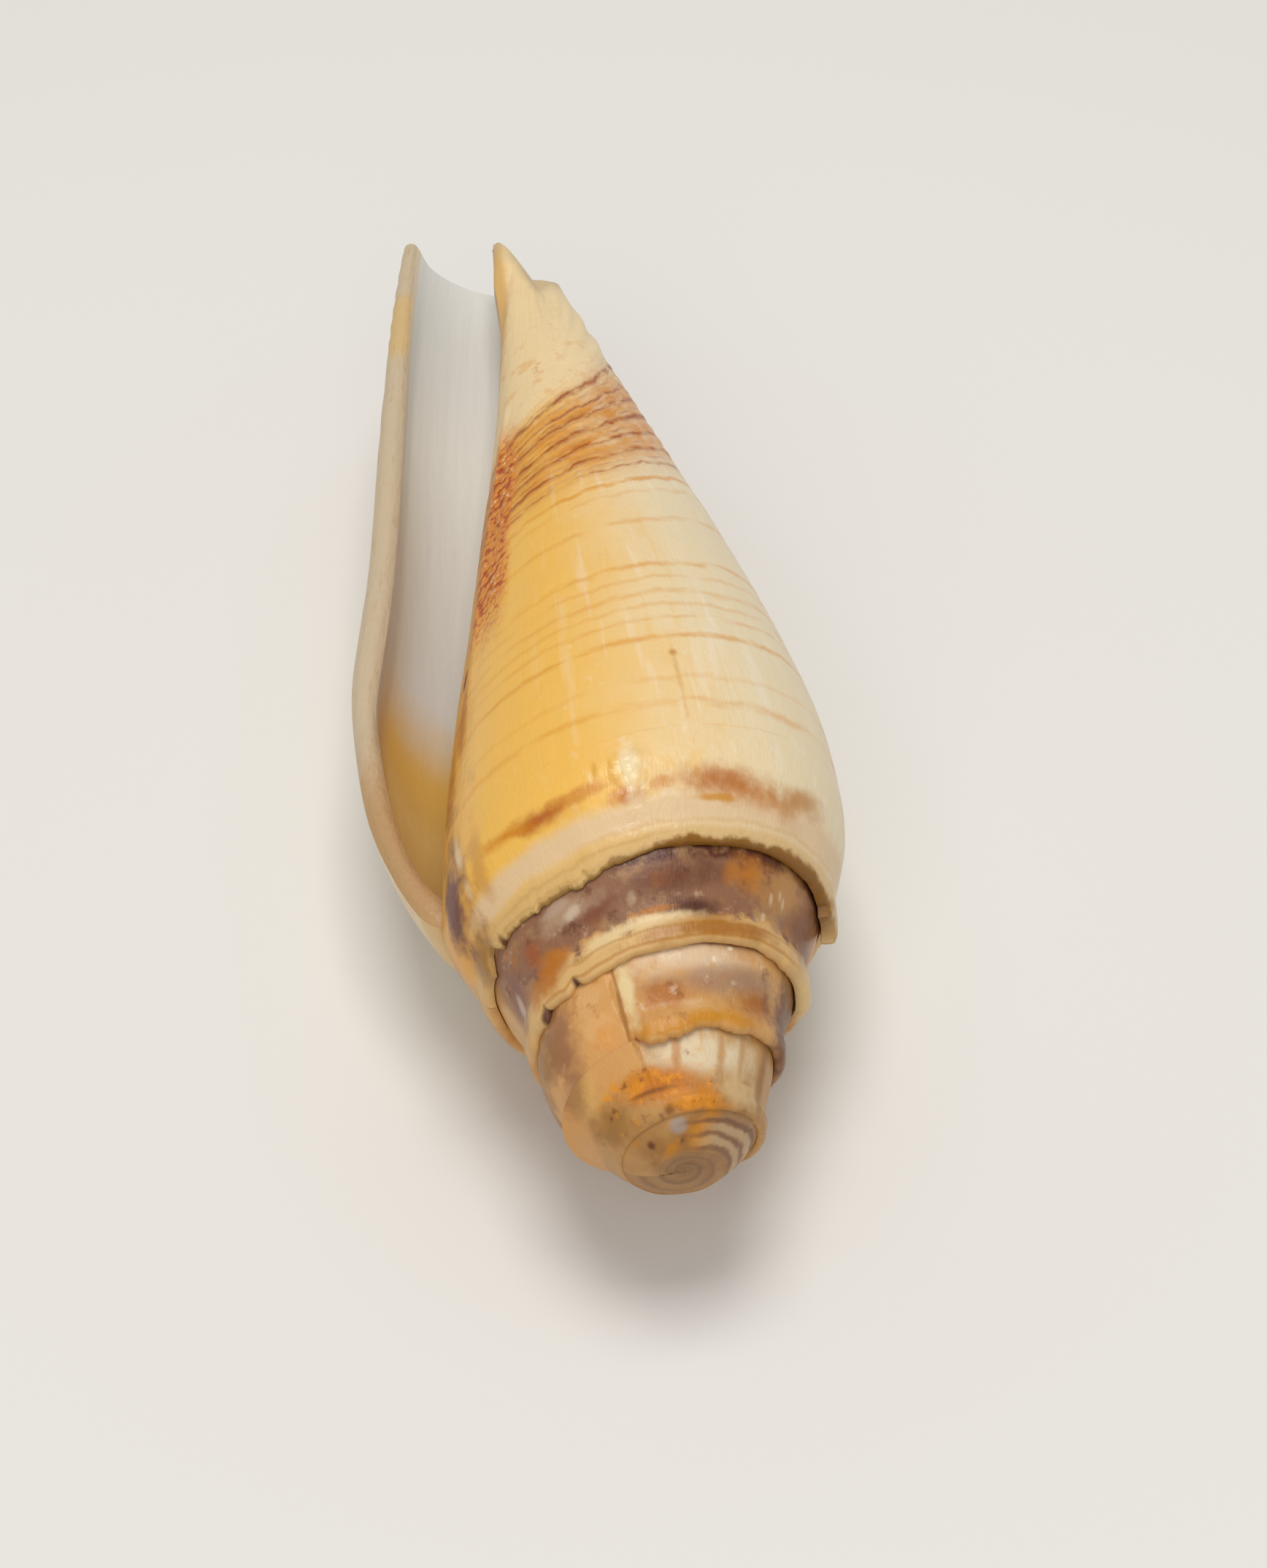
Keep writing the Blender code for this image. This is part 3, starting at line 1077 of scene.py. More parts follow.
class Nodes:
    """A material's node tree, filled from the inputs to the surface."""

    def __init__(self, name: str) -> None:
        """Makes a material with a bare Principled surface.

        Args:
            name: The material's name.
        """
        self.material = bpy.data.materials.new(name)
        self.material.use_nodes = True
        self.tree = self.material.node_tree
        self.surface = self.tree.nodes["Principled BSDF"]

    def add(
        self, kind: str, settings: dict[str, object], sockets: dict[object, object]
    ) -> bpy.types.Node:
        """Adds any node.

        Args:
            kind: The node's type.
            settings: Properties, set before its sockets.
            sockets: Values or links by socket name or number.

        Returns:
            The node.
        """
        node = self.tree.nodes.new(kind)
        for label, setting in settings.items():
            setattr(node, label, setting)
        self.feed(node, sockets)
        return node

    def feed(self, node: bpy.types.Node, sockets: dict[object, object]) -> None:
        """Sets or links a node's inputs. A colour gets its alpha.

        Args:
            node: The node.
            sockets: Values or links by socket name or number.
        """
        for label, given in sockets.items():
            given = given.socket if isinstance(given, Wire) else given
            if isinstance(given, Socket):
                self.tree.links.new(given, node.inputs[label])
            else:
                value = (*given, 1.0) if isinstance(given, tuple) else given
                node.inputs[label].default_value = value

    def value(self, kind: str, settings: dict[str, object], sockets: dict[object, object]) -> Wire:
        """Adds a node and reads its first output as a number."""
        return Wire(self, self.add(kind, settings, sockets).outputs[0])

    def field(self, name: str) -> Wire:
        """A number kept on the mesh."""
        node = self.add("ShaderNodeAttribute", {"attribute_name": name}, {})
        return Wire(self, node.outputs["Fac"])

    def place(self) -> Socket:
        """The place on the object, in metres."""
        return self.add("ShaderNodeTexCoord", {}, {}).outputs["Object"]

    def grain(
        self, scale: float, detail: float = 3.0, rough: float = 0.55, at: "Socket | None" = None
    ) -> Wire:
        """Soft noise round 0.

        Args:
            scale: Its fineness.
            detail: How many finer layers it has.
            rough: How strong those are.
            at: Where it is read, if not at the place on the object.

        Returns:
            The noise.
        """
        place = self.place() if at is None else at
        sockets = {"Vector": place, "Scale": scale, "Detail": detail, "Roughness": rough}
        return self.value("ShaderNodeTexNoise", {}, sockets) - 0.5

    def streaks(self, across: Number, down: Number, detail: float, rough: float = 0.55) -> Wire:
        """Soft noise round 0 over two numbers, drawn out along the one that varies less."""
        at = self.add("ShaderNodeCombineXYZ", {}, {"X": across, "Y": down}).outputs[0]
        return self.grain(1.0, detail, rough, at)

    def cells(self, scale: float) -> Wire:
        """Distance from the middle of the nearest of many small cells."""
        sockets = {"Vector": self.place(), "Scale": scale}
        return self.value("ShaderNodeTexVoronoi", {"feature": "F1"}, sockets)

    def paint(self, under: Paint, colour: Paint, mask: Number) -> Socket:
        """Lays a colour over another where the mask is 1.

        Args:
            under: The colour below.
            colour: The colour on top.
            mask: How much of it shows.

        Returns:
            The mixed colour.
        """
        sockets = {0: mask, 6: under, 7: colour}
        return self.add("ShaderNodeMix", {"data_type": "RGBA"}, sockets).outputs[2]

    def coats(self, colour: Paint, *layers: tuple[str, Number]) -> Socket:
        """Lays screen colours over a colour in order, each where its mask is 1.

        Args:
            colour: The colour below.
            layers: The code and the mask of each layer.

        Returns:
            The mixed colour.
        """
        for code, mask in layers:
            colour = self.paint(colour, tint(code), mask)
        return colour

    def bump(self, height: Wire, distance: float) -> None:
        """Feeds a height, in units of distance in metres, to the surface's normal."""
        node = self.add("ShaderNodeBump", {}, {"Height": height, "Distance": distance})
        self.tree.links.new(node.outputs[0], self.surface.inputs["Normal"])

    def finish(self, colour: Paint, rough: Number, coat: float = 0.0) -> bpy.types.Material:
        """Sets the surface and returns the material.

        Args:
            colour: Its colour.
            rough: Its roughness.
            coat: The weight of its coat.

        Returns:
            The material.
        """
        given = {
            "Base Color": colour,
            "Roughness": rough,
            "Coat Weight": coat,
            "Coat Roughness": 0.2,
            "Specular IOR Level": 0.3,
        }
        self.feed(self.surface, given)
        return self.material


@dataclass(frozen=True)
class Mark:
    """A soft-edged spot of colour on the outside.

    It is an ellipse about a turn and a share along, wide in turns and tall in shares. Slope is how
    far its middle line climbs in share for each turn.
    """

    turn: float
    along: float
    wide: float
    tall: float
    slope: float
    colour: str
    strength: float
    soft: float = 0.65
    ragged: float = 2.2

    def mask(self, turn: Wire, along: Wire, fray: Wire) -> Wire:
        """Where the mark shows.

        Args:
            turn: The turn.
            along: The share along.
            fray: Noise that breaks up its edge.

        Returns:
            From 0 to its strength.
        """
        across = turn - self.turn
        down = along - self.along
        if self.slope:
            down = down - across * self.slope
        across, down = across * (1 / self.wide), down * (1 / self.tall)
        distance = (across * across + down * down).root() + fray * self.ragged
        return distance.ease(1 + self.soft, 1 - self.soft) * self.strength


@dataclass(frozen=True)
class Band:
    """Colour between two shares along and between two turns, with frayed edges."""

    low: float
    high: float
    first: float
    last: float
    colour: str
    strength: float
    soft: float
    blend: float
    ragged: float

    def mask(self, turn: Wire, along: Wire, fray: Wire) -> Wire:
        """Where the band shows, from 0 to its strength."""
        across = (along + fray * self.ragged).between(self.low, self.high, self.soft)
        return across * turn.between(self.first, self.last, self.blend) * self.strength


@dataclass(frozen=True)
class Flecks:
    """Ragged flecks of colour where noise is high, between two shares along and two turns."""

    low: float
    high: float
    first: float
    last: float
    colour: str
    scale: float
    cut: float
    strength: float

    def mask(self, turn: Wire, along: Wire, fray: Wire) -> Wire:
        """Where the flecks show, from 0 to their strength.

        Args:
            turn: The turn.
            along: The share along.
            fray: Noise that breaks up the ends.

        Returns:
            From 0 to their strength.
        """
        height = turn.nodes.grain(self.scale, 4.0, 0.62)
        window = (along + fray * 0.2).between(self.low, self.high, 0.06)
        window = window * turn.between(self.first, self.last, 0.03)
        return height.ease(self.cut - 0.02, self.cut + 0.14) * window * self.strength


@dataclass(frozen=True)
class ShellFinish:
    """A base of two colours in clouds, with bands and marks laid over it in order."""

    name: str
    base: str
    cloud: str
    layers: tuple[Band | Flecks | Mark, ...] = ()
    rough: float = 0.36
    grain: float = 0.3
    fray_scale: float = 900.0

    def base_colour(self, nodes: Nodes, turn: Wire, along: Wire) -> Socket:
        """The colour under every band and mark."""
        return nodes.coats(tint(self.base), (self.cloud, nodes.grain(330).ease(-0.1, 0.2)))

    def relief(self, nodes: Nodes, turn: Wire, along: Wire) -> Wire:
        """Height of the fine grain, in tenths of a millimetre."""
        growth_lines = nodes.streaks(turn * 420, along * 9, 2.0)
        return nodes.grain(2600) * self.grain + growth_lines * 0.22 + nodes.grain(800) * 0.5

    def gloss(self, nodes: Nodes, turn: Wire, along: Wire) -> Wire:
        """Roughness over the surface."""
        return nodes.grain(1400) * 0.25 + self.rough

    def material(self) -> bpy.types.Material:
        """The finish's material."""
        nodes = Nodes(self.name)
        turn, along = nodes.field("turn"), nodes.field("along")
        fray = nodes.grain(self.fray_scale, 4.0, 0.6)
        layers = [(layer.colour, layer.mask(turn, along, fray)) for layer in self.layers]
        colour = nodes.coats(self.base_colour(nodes, turn, along), *layers)
        nodes.bump(self.relief(nodes, turn, along), 0.1 * MM)
        return nodes.finish(colour, self.gloss(nodes, turn, along), 0.05)


THIRD_WHORL = ShellFinish(
    "shell_third_whorl",
    "D2A56C",
    "B77B3C",
    (
        Band(0.36, 1.05, -1.97, -1.5, "926C56", 1.0, 0.08, 0.02, 0.6),
        Band(0.05, 0.3, -1.95, -1.45, "D9B47C", 0.7, 0.06, 0.03, 0.2),
        # Painted shadow: a dark band where the last whorl's rim overhangs this whorl's edge.
        Band(0.86, 1.1, -1.77, -1.5, "5A3A20", 0.9, 0.04, 0.02, 0.12),
        Flecks(0.3, 1.0, -1.97, -1.5, "A9835F", 700, 0.02, 0.8),
        Flecks(0.3, 1.0, -1.97, -1.5, "5E3B30", 900, 0.06, 0.7),
        Flecks(0.3, 0.95, -1.95, -1.55, "C4A88A", 1500, 0.1, 0.7),
        Flecks(0.35, 0.9, -1.97, -1.5, "B4773E", 420, 0.06, 0.7),
        Mark(-1.711, 0.72, 0.045, 0.13, 0.6, "6A463C", 0.7),
        Mark(-1.695, 0.42, 0.026, 0.08, -1.0, "54392F", 0.85),
        Mark(-1.637, 0.76, 0.02, 0.14, 1.0, "B8783C", 0.95),
        Mark(-1.585, 0.72, 0.034, 0.18, 0.0, "B98A56", 0.85),
        Mark(-1.8, 0.62, 0.02, 0.12, 0.0, "7A4C40", 0.7),
        Mark(-1.826, 0.72, 0.03, 0.1, 0.0, "B4977C", 0.8),
        Mark(-1.822, 0.69, 0.013, 0.05, 3.0, "C9B59E", 0.8),
        Mark(-1.84, 0.8, 0.016, 0.04, 0.0, "B59C88", 0.7),
        Mark(-1.759, 0.6, 0.004, 0.06, 0.0, "C8B092", 0.4),
        Mark(-1.604, 0.6, 0.0025, 0.05, -5.0, "D0B692", 0.7, 0.6, 0.8),
        Mark(-1.592, 0.66, 0.0025, 0.04, -5.0, "D0B692", 0.6, 0.6, 0.8),
        Mark(-1.585, 0.61, 0.0025, 0.05, -6.0, "D0B692", 0.7, 0.6, 0.8),
        Mark(-1.611, 0.4, 0.003, 0.04, 0.0, "D0BA9A", 0.7, 0.4, 0.4),
        Mark(-1.884, 0.6, 0.011, 0.15, -1.0, "A05C3C", 0.75),
        Mark(-1.864, 0.44, 0.018, 0.08, -1.5, "BC7634", 0.7),
        Mark(-1.76, 0.33, 0.06, 0.06, 0.3, "E4CA9A", 0.9),
        Mark(-1.735, 0.44, 0.02, 0.03, 0.0, "BC7A33", 0.7),
        Mark(-1.941, 0.5, 0.02, 0.2, 2.4, "8A665A", 0.8),
        Mark(-1.945, 0.42, 0.006, 0.1, 5.0, "C4AE9C", 0.8),
        Mark(-1.53, 0.45, 0.034, 0.26, 0.0, "80502A", 0.95),
        Mark(-1.885, 0.32, 0.03, 0.11, 0.0, "B8722C", 0.9),
        Mark(-1.67, 0.2, 0.07, 0.08, 0.0, "A2682C", 0.85),
        Band(0.12, 0.15, -1.9, -1.55, "A9701F", 0.5, 0.012, 0.03, 0.05),
        Band(0.235, 0.26, -1.85, -1.55, "A9752F", 0.45, 0.015, 0.03, 0.08),
        Mark(-1.485, 0.12, 0.05, 0.16, 0.0, "DFC08A", 0.9),
        # This mark and the next: dark spots in the rim's notches, partly brown pits and partly
        # painted shade.
        Mark(-1.844, 0.08, 0.006, 0.05, 0.0, "4E3018", 0.9, 0.6, 1.0),
        Mark(-1.905, 0.08, 0.008, 0.06, 0.0, "4E3018", 0.9, 0.6, 1.0),
    ),
)

SECOND_WHORL = ShellFinish(
    "shell_second_whorl",
    "CF9F66",
    "B98050",
    (
        Mark(-2.7, 0.85, 0.075, 0.17, -0.4, "DCC0A0", 0.95),
        Mark(-2.655, 0.58, 0.09, 0.15, 0.0, "A88870", 0.7),
        Mark(-2.615, 0.6, 0.035, 0.15, 0.6, "9C7C6A", 0.6),
        Mark(-2.735, 0.46, 0.034, 0.14, -1.0, "AE6A34", 0.85, 0.8),
        Mark(-2.7, 0.33, 0.02, 0.06, 0.0, "D6B080", 0.7),
        Mark(-2.6, 0.38, 0.034, 0.16, 0.0, "A8682E", 0.85, 0.8),
        Mark(-2.69, 0.17, 0.09, 0.07, 0.0, "C78730", 0.85),
        Mark(-2.788, 0.66, 0.01, 0.34, -2.0, "E4CD9C", 0.95),
        # Dark brown on the whorl's right-hand side: partly its brown colour, partly painted shade
        # from the gap under the rim.
        Mark(-2.495, 0.45, 0.06, 0.7, 0.0, "704824", 0.95),
        # Painted shade: a dark band along the seam where the third whorl laps over this one.
        Band(0.95, 1.1, -2.76, -2.4, "6B4525", 0.75, 0.02, 0.02, 0.03),
        Flecks(0.0, 0.9, -2.79, -2.45, "8E5A34", 1100, 0.09, 0.6),
        Flecks(0.3, 1.0, -2.79, -2.5, "EAD8BC", 1300, 0.1, 0.5),
        Mark(-2.65, 0.92, 0.004, 0.02, 0.0, "F2E6CC", 0.8, 0.4, 0.4),
        Mark(-2.672, 0.8, 0.0025, 0.03, 0.0, "F2E6CC", 0.6, 0.4, 0.4),
        Band(-0.1, 1.2, -3.2, -2.797, "D29F66", 1.0, 0.01, 0.003, 0.0),
        # Painted shade: a purple-grey patch on the lobe's left side.
        Mark(-2.905, 0.6, 0.034, 0.5, 2.2, "966A50", 0.85),
        Mark(-2.83, 0.3, 0.02, 0.16, -1.4, "DC9C5A", 0.7),
        Mark(-2.84, 0.78, 0.02, 0.14, 0.0, "DDB07C", 0.6),
        Flecks(0.0, 0.95, -3.1, -2.8, "E0B07A", 700, 0.04, 0.5),
        Flecks(0.0, 0.95, -3.1, -2.8, "B07440", 1200, 0.08, 0.5),
        Mark(-2.96, 0.75, 0.05, 0.35, 0.0, "94683C", 0.8),
        Mark(-2.7995, 0.5, 0.0022, 0.6, 0.0, "7E5530", 0.5, 0.5, 0.3),
    ),
)

FIRST_WHORLS = ShellFinish(
    "shell_first_whorls",
    "BE9360",
    "A27547",
    (
        Mark(-3.69, 0.74, 0.1, 0.2, -1.0, "DCC9A8", 1.0),
        Mark(-3.605, 0.36, 0.06, 0.2, -0.2, "CFB083", 0.9),
        Mark(-3.733, 0.8, 0.007, 0.18, 0.0, "B98148", 0.75, 0.8),
        Mark(-3.69, 0.86, 0.003, 0.08, 0.0, "C79A66", 0.5, 0.8),
        Mark(-3.655, 0.74, 0.007, 0.28, 0.0, "B98A58", 0.75, 0.8),
        Mark(-3.612, 0.7, 0.006, 0.22, 0.0, "B88C5C", 0.65, 0.8),
        Mark(-3.55, 0.6, 0.014, 0.4, 0.0, "94683C", 0.8, 0.8),
        Band(0.5, 1.1, -4.3, -3.788, "D09C62", 1.0, 0.12, 0.012, 0.3),
        Mark(-3.762, 0.45, 0.07, 0.17, -1.2, "BE741E", 1.0),
        Mark(-3.715, 0.2, 0.06, 0.16, -1.0, "C98230", 0.95),
        Mark(-3.8, 0.62, 0.03, 0.1, -1.0, "C98030", 0.8),
        Mark(-3.905, 0.86, 0.03, 0.2, 1.0, "DAAE6A", 0.9),
        Mark(-3.9, 0.43, 0.05, 0.2, -1.0, "9A7040", 0.8),
        Mark(-3.92, 1.00, 0.03, 0.25, 1.0, "9A6C48", 0.7),
        Flecks(0.1, 0.75, -3.9, -3.66, "E2952E", 1300, 0.03, 0.8),
        Flecks(0.05, 0.75, -3.95, -3.66, "7C4A18", 1500, 0.1, 0.8),
        Flecks(0.0, 0.7, -4.1, -3.5, "9C7148", 900, 0.1, 0.5),
        Mark(-3.788, 0.45, 0.036, 0.03, -0.6, "8A5620", 0.9, 0.7, 1.6),
        Mark(-3.762, 0.16, 0.012, 0.08, 0.0, "7A5024", 0.8, 0.7, 2.0),
        Mark(-4.69, 0.4, 0.035, 0.4, 0.0, "CC8A32", 0.85),
        Mark(-4.75, 0.78, 0.024, 0.2, 0.0, "A8988C", 0.9, 0.5, 1.4),
        Mark(-4.842, 0.58, 0.012, 0.12, 0.0, "6A4420", 0.9, 0.7, 2.0),
        Mark(-4.58, 0.55, 0.09, 0.6, 0.0, "A68462", 0.85),
        Flecks(-0.2, 1.1, -5.1, -4.65, "C8842E", 700, 0.0, 0.8),
        Flecks(-1.1, 1.1, -6.1, -4.0, "5E4432", 1500, 0.12, 0.6),
        Band(0.24, 0.4, -4.68, -4.3, "CDB592", 0.5, 0.05, 0.05, 0.3),
        Band(0.55, 0.7, -4.66, -4.3, "CDB592", 0.5, 0.05, 0.05, 0.3),
        Flecks(-1.2, 0.4, -6.2, -4.6, "CF9A5C", 800, 0.0, 0.6),
        Band(0.12, 0.22, -4.7, -4.3, "80604E", 0.7, 0.04, 0.06, 0.3),
        Band(0.42, 0.52, -4.72, -4.3, "80604E", 0.7, 0.04, 0.06, 0.3),
        Band(0.72, 0.84, -4.72, -4.35, "7C5A4A", 0.8, 0.04, 0.06, 0.3),
        Band(-1.3, 0.1, -6.0, -4.6, "A07C5A", 0.7, 0.2, 0.1, 0.4),
        Band(-0.32, -0.22, -6.0, -4.0, "85644C", 0.55, 0.06, 0.01, 0.3),
        Band(-0.66, -0.56, -6.0, -4.0, "80604C", 0.55, 0.06, 0.01, 0.3),
        Band(-1.1, -0.92, -6.0, -4.0, "80604C", 0.5, 0.06, 0.01, 0.3),
    ),
    0.45,
)


@dataclass(frozen=True)
class LastWhorlFinish(ShellFinish):
    """Cream and yellow, with spiral lines, a zone of raised red ones and a granular band."""

    yellow: str = "EBBA60"
    amber: str = "DC9C42"
    pale: str = "EBD3A6"
    line: str = "D8953C"
    red_line: str = "9C5222"
    zone: str = "D58F40"
    granule: str = "DC8C40"
    granule_dark: str = "B05416"
    # Paler granule colour together with a painted highlight on the granules' tops.
    granule_pale_and_highlight: str = "F2D2B0"
    pitch: float = 360.0
    granules: float = 3000.0
    lines: tuple[Triple, ...] = (
        (-0.06, 0.35, 0.008), (0.023, 0.55, 0.009), (0.06, 0.3, 0.007), (0.131, 0.75, 0.009),
        (0.165, 0.45, 0.007), (0.19, 0.4, 0.007), (0.215, 0.5, 0.009), (0.245, 0.4, 0.007),
        (0.274, 0.7, 0.009), (0.37, 0.5, 0.009), (0.462, 1.0, 0.0085), (0.435, 0.35, 0.007),
    )
    red_lines: tuple[Triple, ...] = (
        (0.497, 0.8, 0.006), (0.53, 0.95, 0.007), (0.566, 0.95, 0.008), (0.602, 1.0, 0.0085),
        (0.638, 0.9, 0.008), (0.663, 0.9, 0.007), (0.705, 1.0, 0.013),
    )

    @staticmethod
    def wavy(nodes: Nodes, turn: Wire, line: Wire) -> Wire:
        """The spiral line's share with a slow waver."""
        return line + nodes.streaks(turn * 34, line * 8, 4.0, 0.6) * 0.022

    @staticmethod
    def ribbons(line: Wire, lines: Sequence[Triple]) -> Wire:
        """All of a set of spiral lines as one mask.

        Args:
            line: The spiral line's share.
            lines: Share, strength and half width of each line.

        Returns:
            The mask.
        """
        total = line * 0
        for at, strength, width in lines:
            total = total.most(line.near(at, width) * strength)
        return total

    @staticmethod
    def band(nodes: Nodes, turn: Wire, side: Wire) -> Wire:
        """Where the granular band lies."""
        wander = nodes.streaks(turn * 8, side * 26, 3.0)
        across = abs(turn + wander * 0.024 + 0.882).ease(0.046, 0.024)
        return across * side.between(0.29, 0.63, 0.06)

    def base_colour(self, nodes: Nodes, turn: Wire, along: Wire) -> Socket:
        """Cream, turning yellow and amber towards the aperture, with its lines.

        Args:
            nodes: The material's nodes.
            turn: The turn.
            along: The share along.

        Returns:
            The colour.
        """
        side = along - 1
        line = spiral_line(turn, side)
        slow, fine = nodes.grain(170), nodes.grain(700)
        streaks = nodes.streaks(turn * 70, line * 5, 3.0)
        broken = nodes.streaks(turn * 24, line * 60, 2.0)
        edge = (turn + slow * 0.04).ease(-0.86, -0.95) * side.ease(0.75, 0.5)
        zone = (line + slow * 0.04).between(0.5, 0.7, 0.05)
        wavy = self.wavy(nodes, turn, line)
        faint = self.ribbons(wavy, self.lines) * broken.ease(-0.2, 0.1) * side.ease(-0.25, -0.05)
        strong = self.ribbons(wavy, self.red_lines) * (broken + slow * 0.5).ease(-0.16, 0.06)
        thin = (wavy * self.pitch).sine().ease(0.35, 0.95) * zone * broken.ease(0.02, -0.15)
        band, cells = self.band(nodes, turn, side), nodes.cells(self.granules)
        return nodes.coats(
            tint(self.base),
            (self.yellow, (turn + slow * 0.12 + streaks * 0.1).ease(-0.62, -0.8)),
            (self.yellow, streaks.ease(0.02, 0.2) * turn.ease(-0.6, -0.72) * 0.55),
            (self.cloud, streaks.ease(-0.02, -0.2) * turn.ease(-0.84, -0.7) * 0.5),
            (self.amber, edge * 0.75),
            (self.pale, line.ease(0.68, 0.76) * 0.9),
            (self.zone, zone * (fine * 1.3 + broken * 1.2 + 0.72).least(1.0).most(0.2)),
            (self.line, faint * 0.8),
            (self.red_line, strong * 0.9),
            (self.red_line, thin * 0.55),
            (self.granule, (band + fine * band * 2).least(1.0)),
            (self.granule_dark, band * cells.ease(0.52, 0.8)),
            # Painted highlight on the granules' raised centres, over their paler colour.
            (self.granule_pale_and_highlight, band * cells.ease(0.32, 0.14) * fine.ease(-0.05, 0.1) * 0.85),
        )

    def relief(self, nodes: Nodes, turn: Wire, along: Wire) -> Wire:
        """Fine grain, raised lines in the red-brown zone and the granules.

        Args:
            nodes: The material's nodes.
            turn: The turn.
            along: The share along.

        Returns:
            The height, in tenths of a millimetre.
        """
        side = along - 1
        line = spiral_line(turn, side)
        wavy = self.wavy(nodes, turn, line)
        ridges = (wavy * self.pitch).sine() * line.between(0.49, 0.73, 0.03)
        sparkle = turn.near(-0.743, 0.02) * along.between(0.52, 0.82, 0.05)
        bumps = nodes.cells(self.granules) * -1.2 * self.band(nodes, turn, side)
        bumps = bumps - nodes.cells(self.granules / 2) * sparkle * 2.2
        return super().relief(nodes, turn, along) + ridges * 0.22 + bumps

    def gloss(self, nodes: Nodes, turn: Wire, along: Wire) -> Wire:
        """Roughness, less where the band and the crushed patch shine."""
        shine = turn.near(-0.743, 0.025).most(turn.near(-0.886, 0.03))
        return super().gloss(nodes, turn, along) - shine * 0.14


LAST_WHORL = LastWhorlFinish(
    "shell_last_whorl",
    "E8D6B2",
    "EEE2CC",
    (
        Band(0.28, 0.5, -0.93, 0.1, "DDC09A", 0.9, 0.06, 0.03, 0.1),
        Band(-0.1, 0.27, -1.1, 0.1, "D3B07A", 0.85, 0.05, 0.02, 0.08),
        Band(0.29, 0.325, -0.79, -0.45, "D0A870", 0.4, 0.015, 0.03, 0.08),
        Band(0.21, 0.235, -0.9, -0.72, "C89E62", 0.5, 0.015, 0.03, 0.08),
        Band(0.13, 0.155, -0.93, -0.78, "BF9658", 0.5, 0.015, 0.03, 0.1),
        # This band and the next: the rim underside's brownish colour, with painted shade under the
        # overhang.
        Band(-0.1, 0.11, -0.93, -0.5, "8E6838", 0.75, 0.03, 0.03, 0.3),
        Band(-0.1, 0.15, -0.74, -0.5, "8A602F", 0.9, 0.04, 0.03, 0.3),
        Mark(-0.945, 0.22, 0.026, 0.17, 0.0, "9A7040", 0.9),
        # Painted shade: a dark line down one side of the rim's V-notch.
        Mark(-0.908, 0.07, 0.004, 0.09, 0.0, "5A3A18", 0.9, 0.6, 0.8),
        Mark(-0.65, 0.53, 0.044, 0.085, -1.2, "C38652", 0.9, 0.9),
        Mark(-0.668, 0.565, 0.024, 0.055, -0.8, "B0683A", 0.6, 0.9),
        Mark(-0.594, 0.55, 0.026, 0.07, 1.0, "BC8850", 0.85, 0.9),
        Mark(-0.676, 0.465, 0.016, 0.025, 0.0, "CA8D3C", 0.8),
        Mark(-0.79, 0.655, 0.03, 0.045, 0.0, "CF8E48", 0.85),
        Mark(-0.821, 0.635, 0.021, 0.06, -1.4, "AC5E36", 0.9, 0.9),
        Mark(-0.852, 0.68, 0.02, 0.04, -1.7, "CA8226", 0.9, 0.9),
        Mark(-0.748, 0.56, 0.014, 0.06, 0.0, "C67C4A", 0.9),
        Mark(-0.724, 0.58, 0.009, 0.045, 0.0, "D29A60", 0.8),
        # Painted highlight: a pale streak where the crushed patch glints.
        Mark(-0.743, 0.68, 0.007, 0.16, 0.0, "F0DCB4", 0.85),
        Mark(-0.769, 0.745, 0.002, 0.07, 0.0, "D09A48", 0.6, 0.6, 1.2),
        Mark(-0.765, 0.645, 0.006, 0.016, 0.0, "D09A48", 0.6, 0.6, 1.2),
        Mark(-0.757, 0.72, 0.002, 0.08, 0.0, "D09A48", 0.6, 0.6, 1.2),
        Mark(-0.693, 1.06, 0.0018, 0.05, 0.0, "D09C50", 0.45, 0.8, 2.0),
        Mark(-0.693, 1.1, 0.003, 0.005, 0.0, "B88038", 0.7, 0.8, 1.0),
        Mark(-0.888, 0.72, 0.008, 0.25, 10.0, "C08A4C", 0.55),
        Mark(-0.939, 0.72, 0.026, 0.3, 3.0, "744A40", 1.0),
        Mark(-0.912, 0.92, 0.005, 0.08, -8.0, "E8CFA6", 0.7, 0.7),
        Mark(-0.91, 0.63, 0.004, 0.06, 0.0, "DCC09A", 0.5),
        Mark(-0.918, 1.245, 0.006, 0.016, 0.0, "7A3008", 1.0, 0.4, 0.5),
        Mark(-0.91, 1.17, 0.01, 0.05, 0.0, "B86A24", 0.7, 0.5, 1.4),
        Mark(-0.93, 1.1, 0.012, 0.06, 0.0, "BC7830", 0.6, 0.5, 1.4),
        Mark(-1.006, 1.91, 0.06, 0.17, 0.0, "D2A868", 0.85, 0.3, 0.7),
        Band(1.985, 2.2, -1.3, 0.1, "CBB692", 0.9, 0.02, 0.02, 0.04),
        Flecks(1.6, 1.95, -1.0, -0.6, "DFA868", 900, 0.04, 0.5),
        Flecks(1.66, 1.86, -0.99, -0.72, "CC8A48", 1100, 0.11, 0.7),
        Flecks(1.0, 1.8, -1.0, -0.4, "F2E8D6", 1500, 0.12, 0.2),
        # Painted shade: a dark brown band along the seam where the last whorl meets the whorl
        # before it.
        Band(-0.1, 0.03, -1.1, 0.1, "6A4526", 0.8, 0.02, 0.02, 0.1),
    ),
)


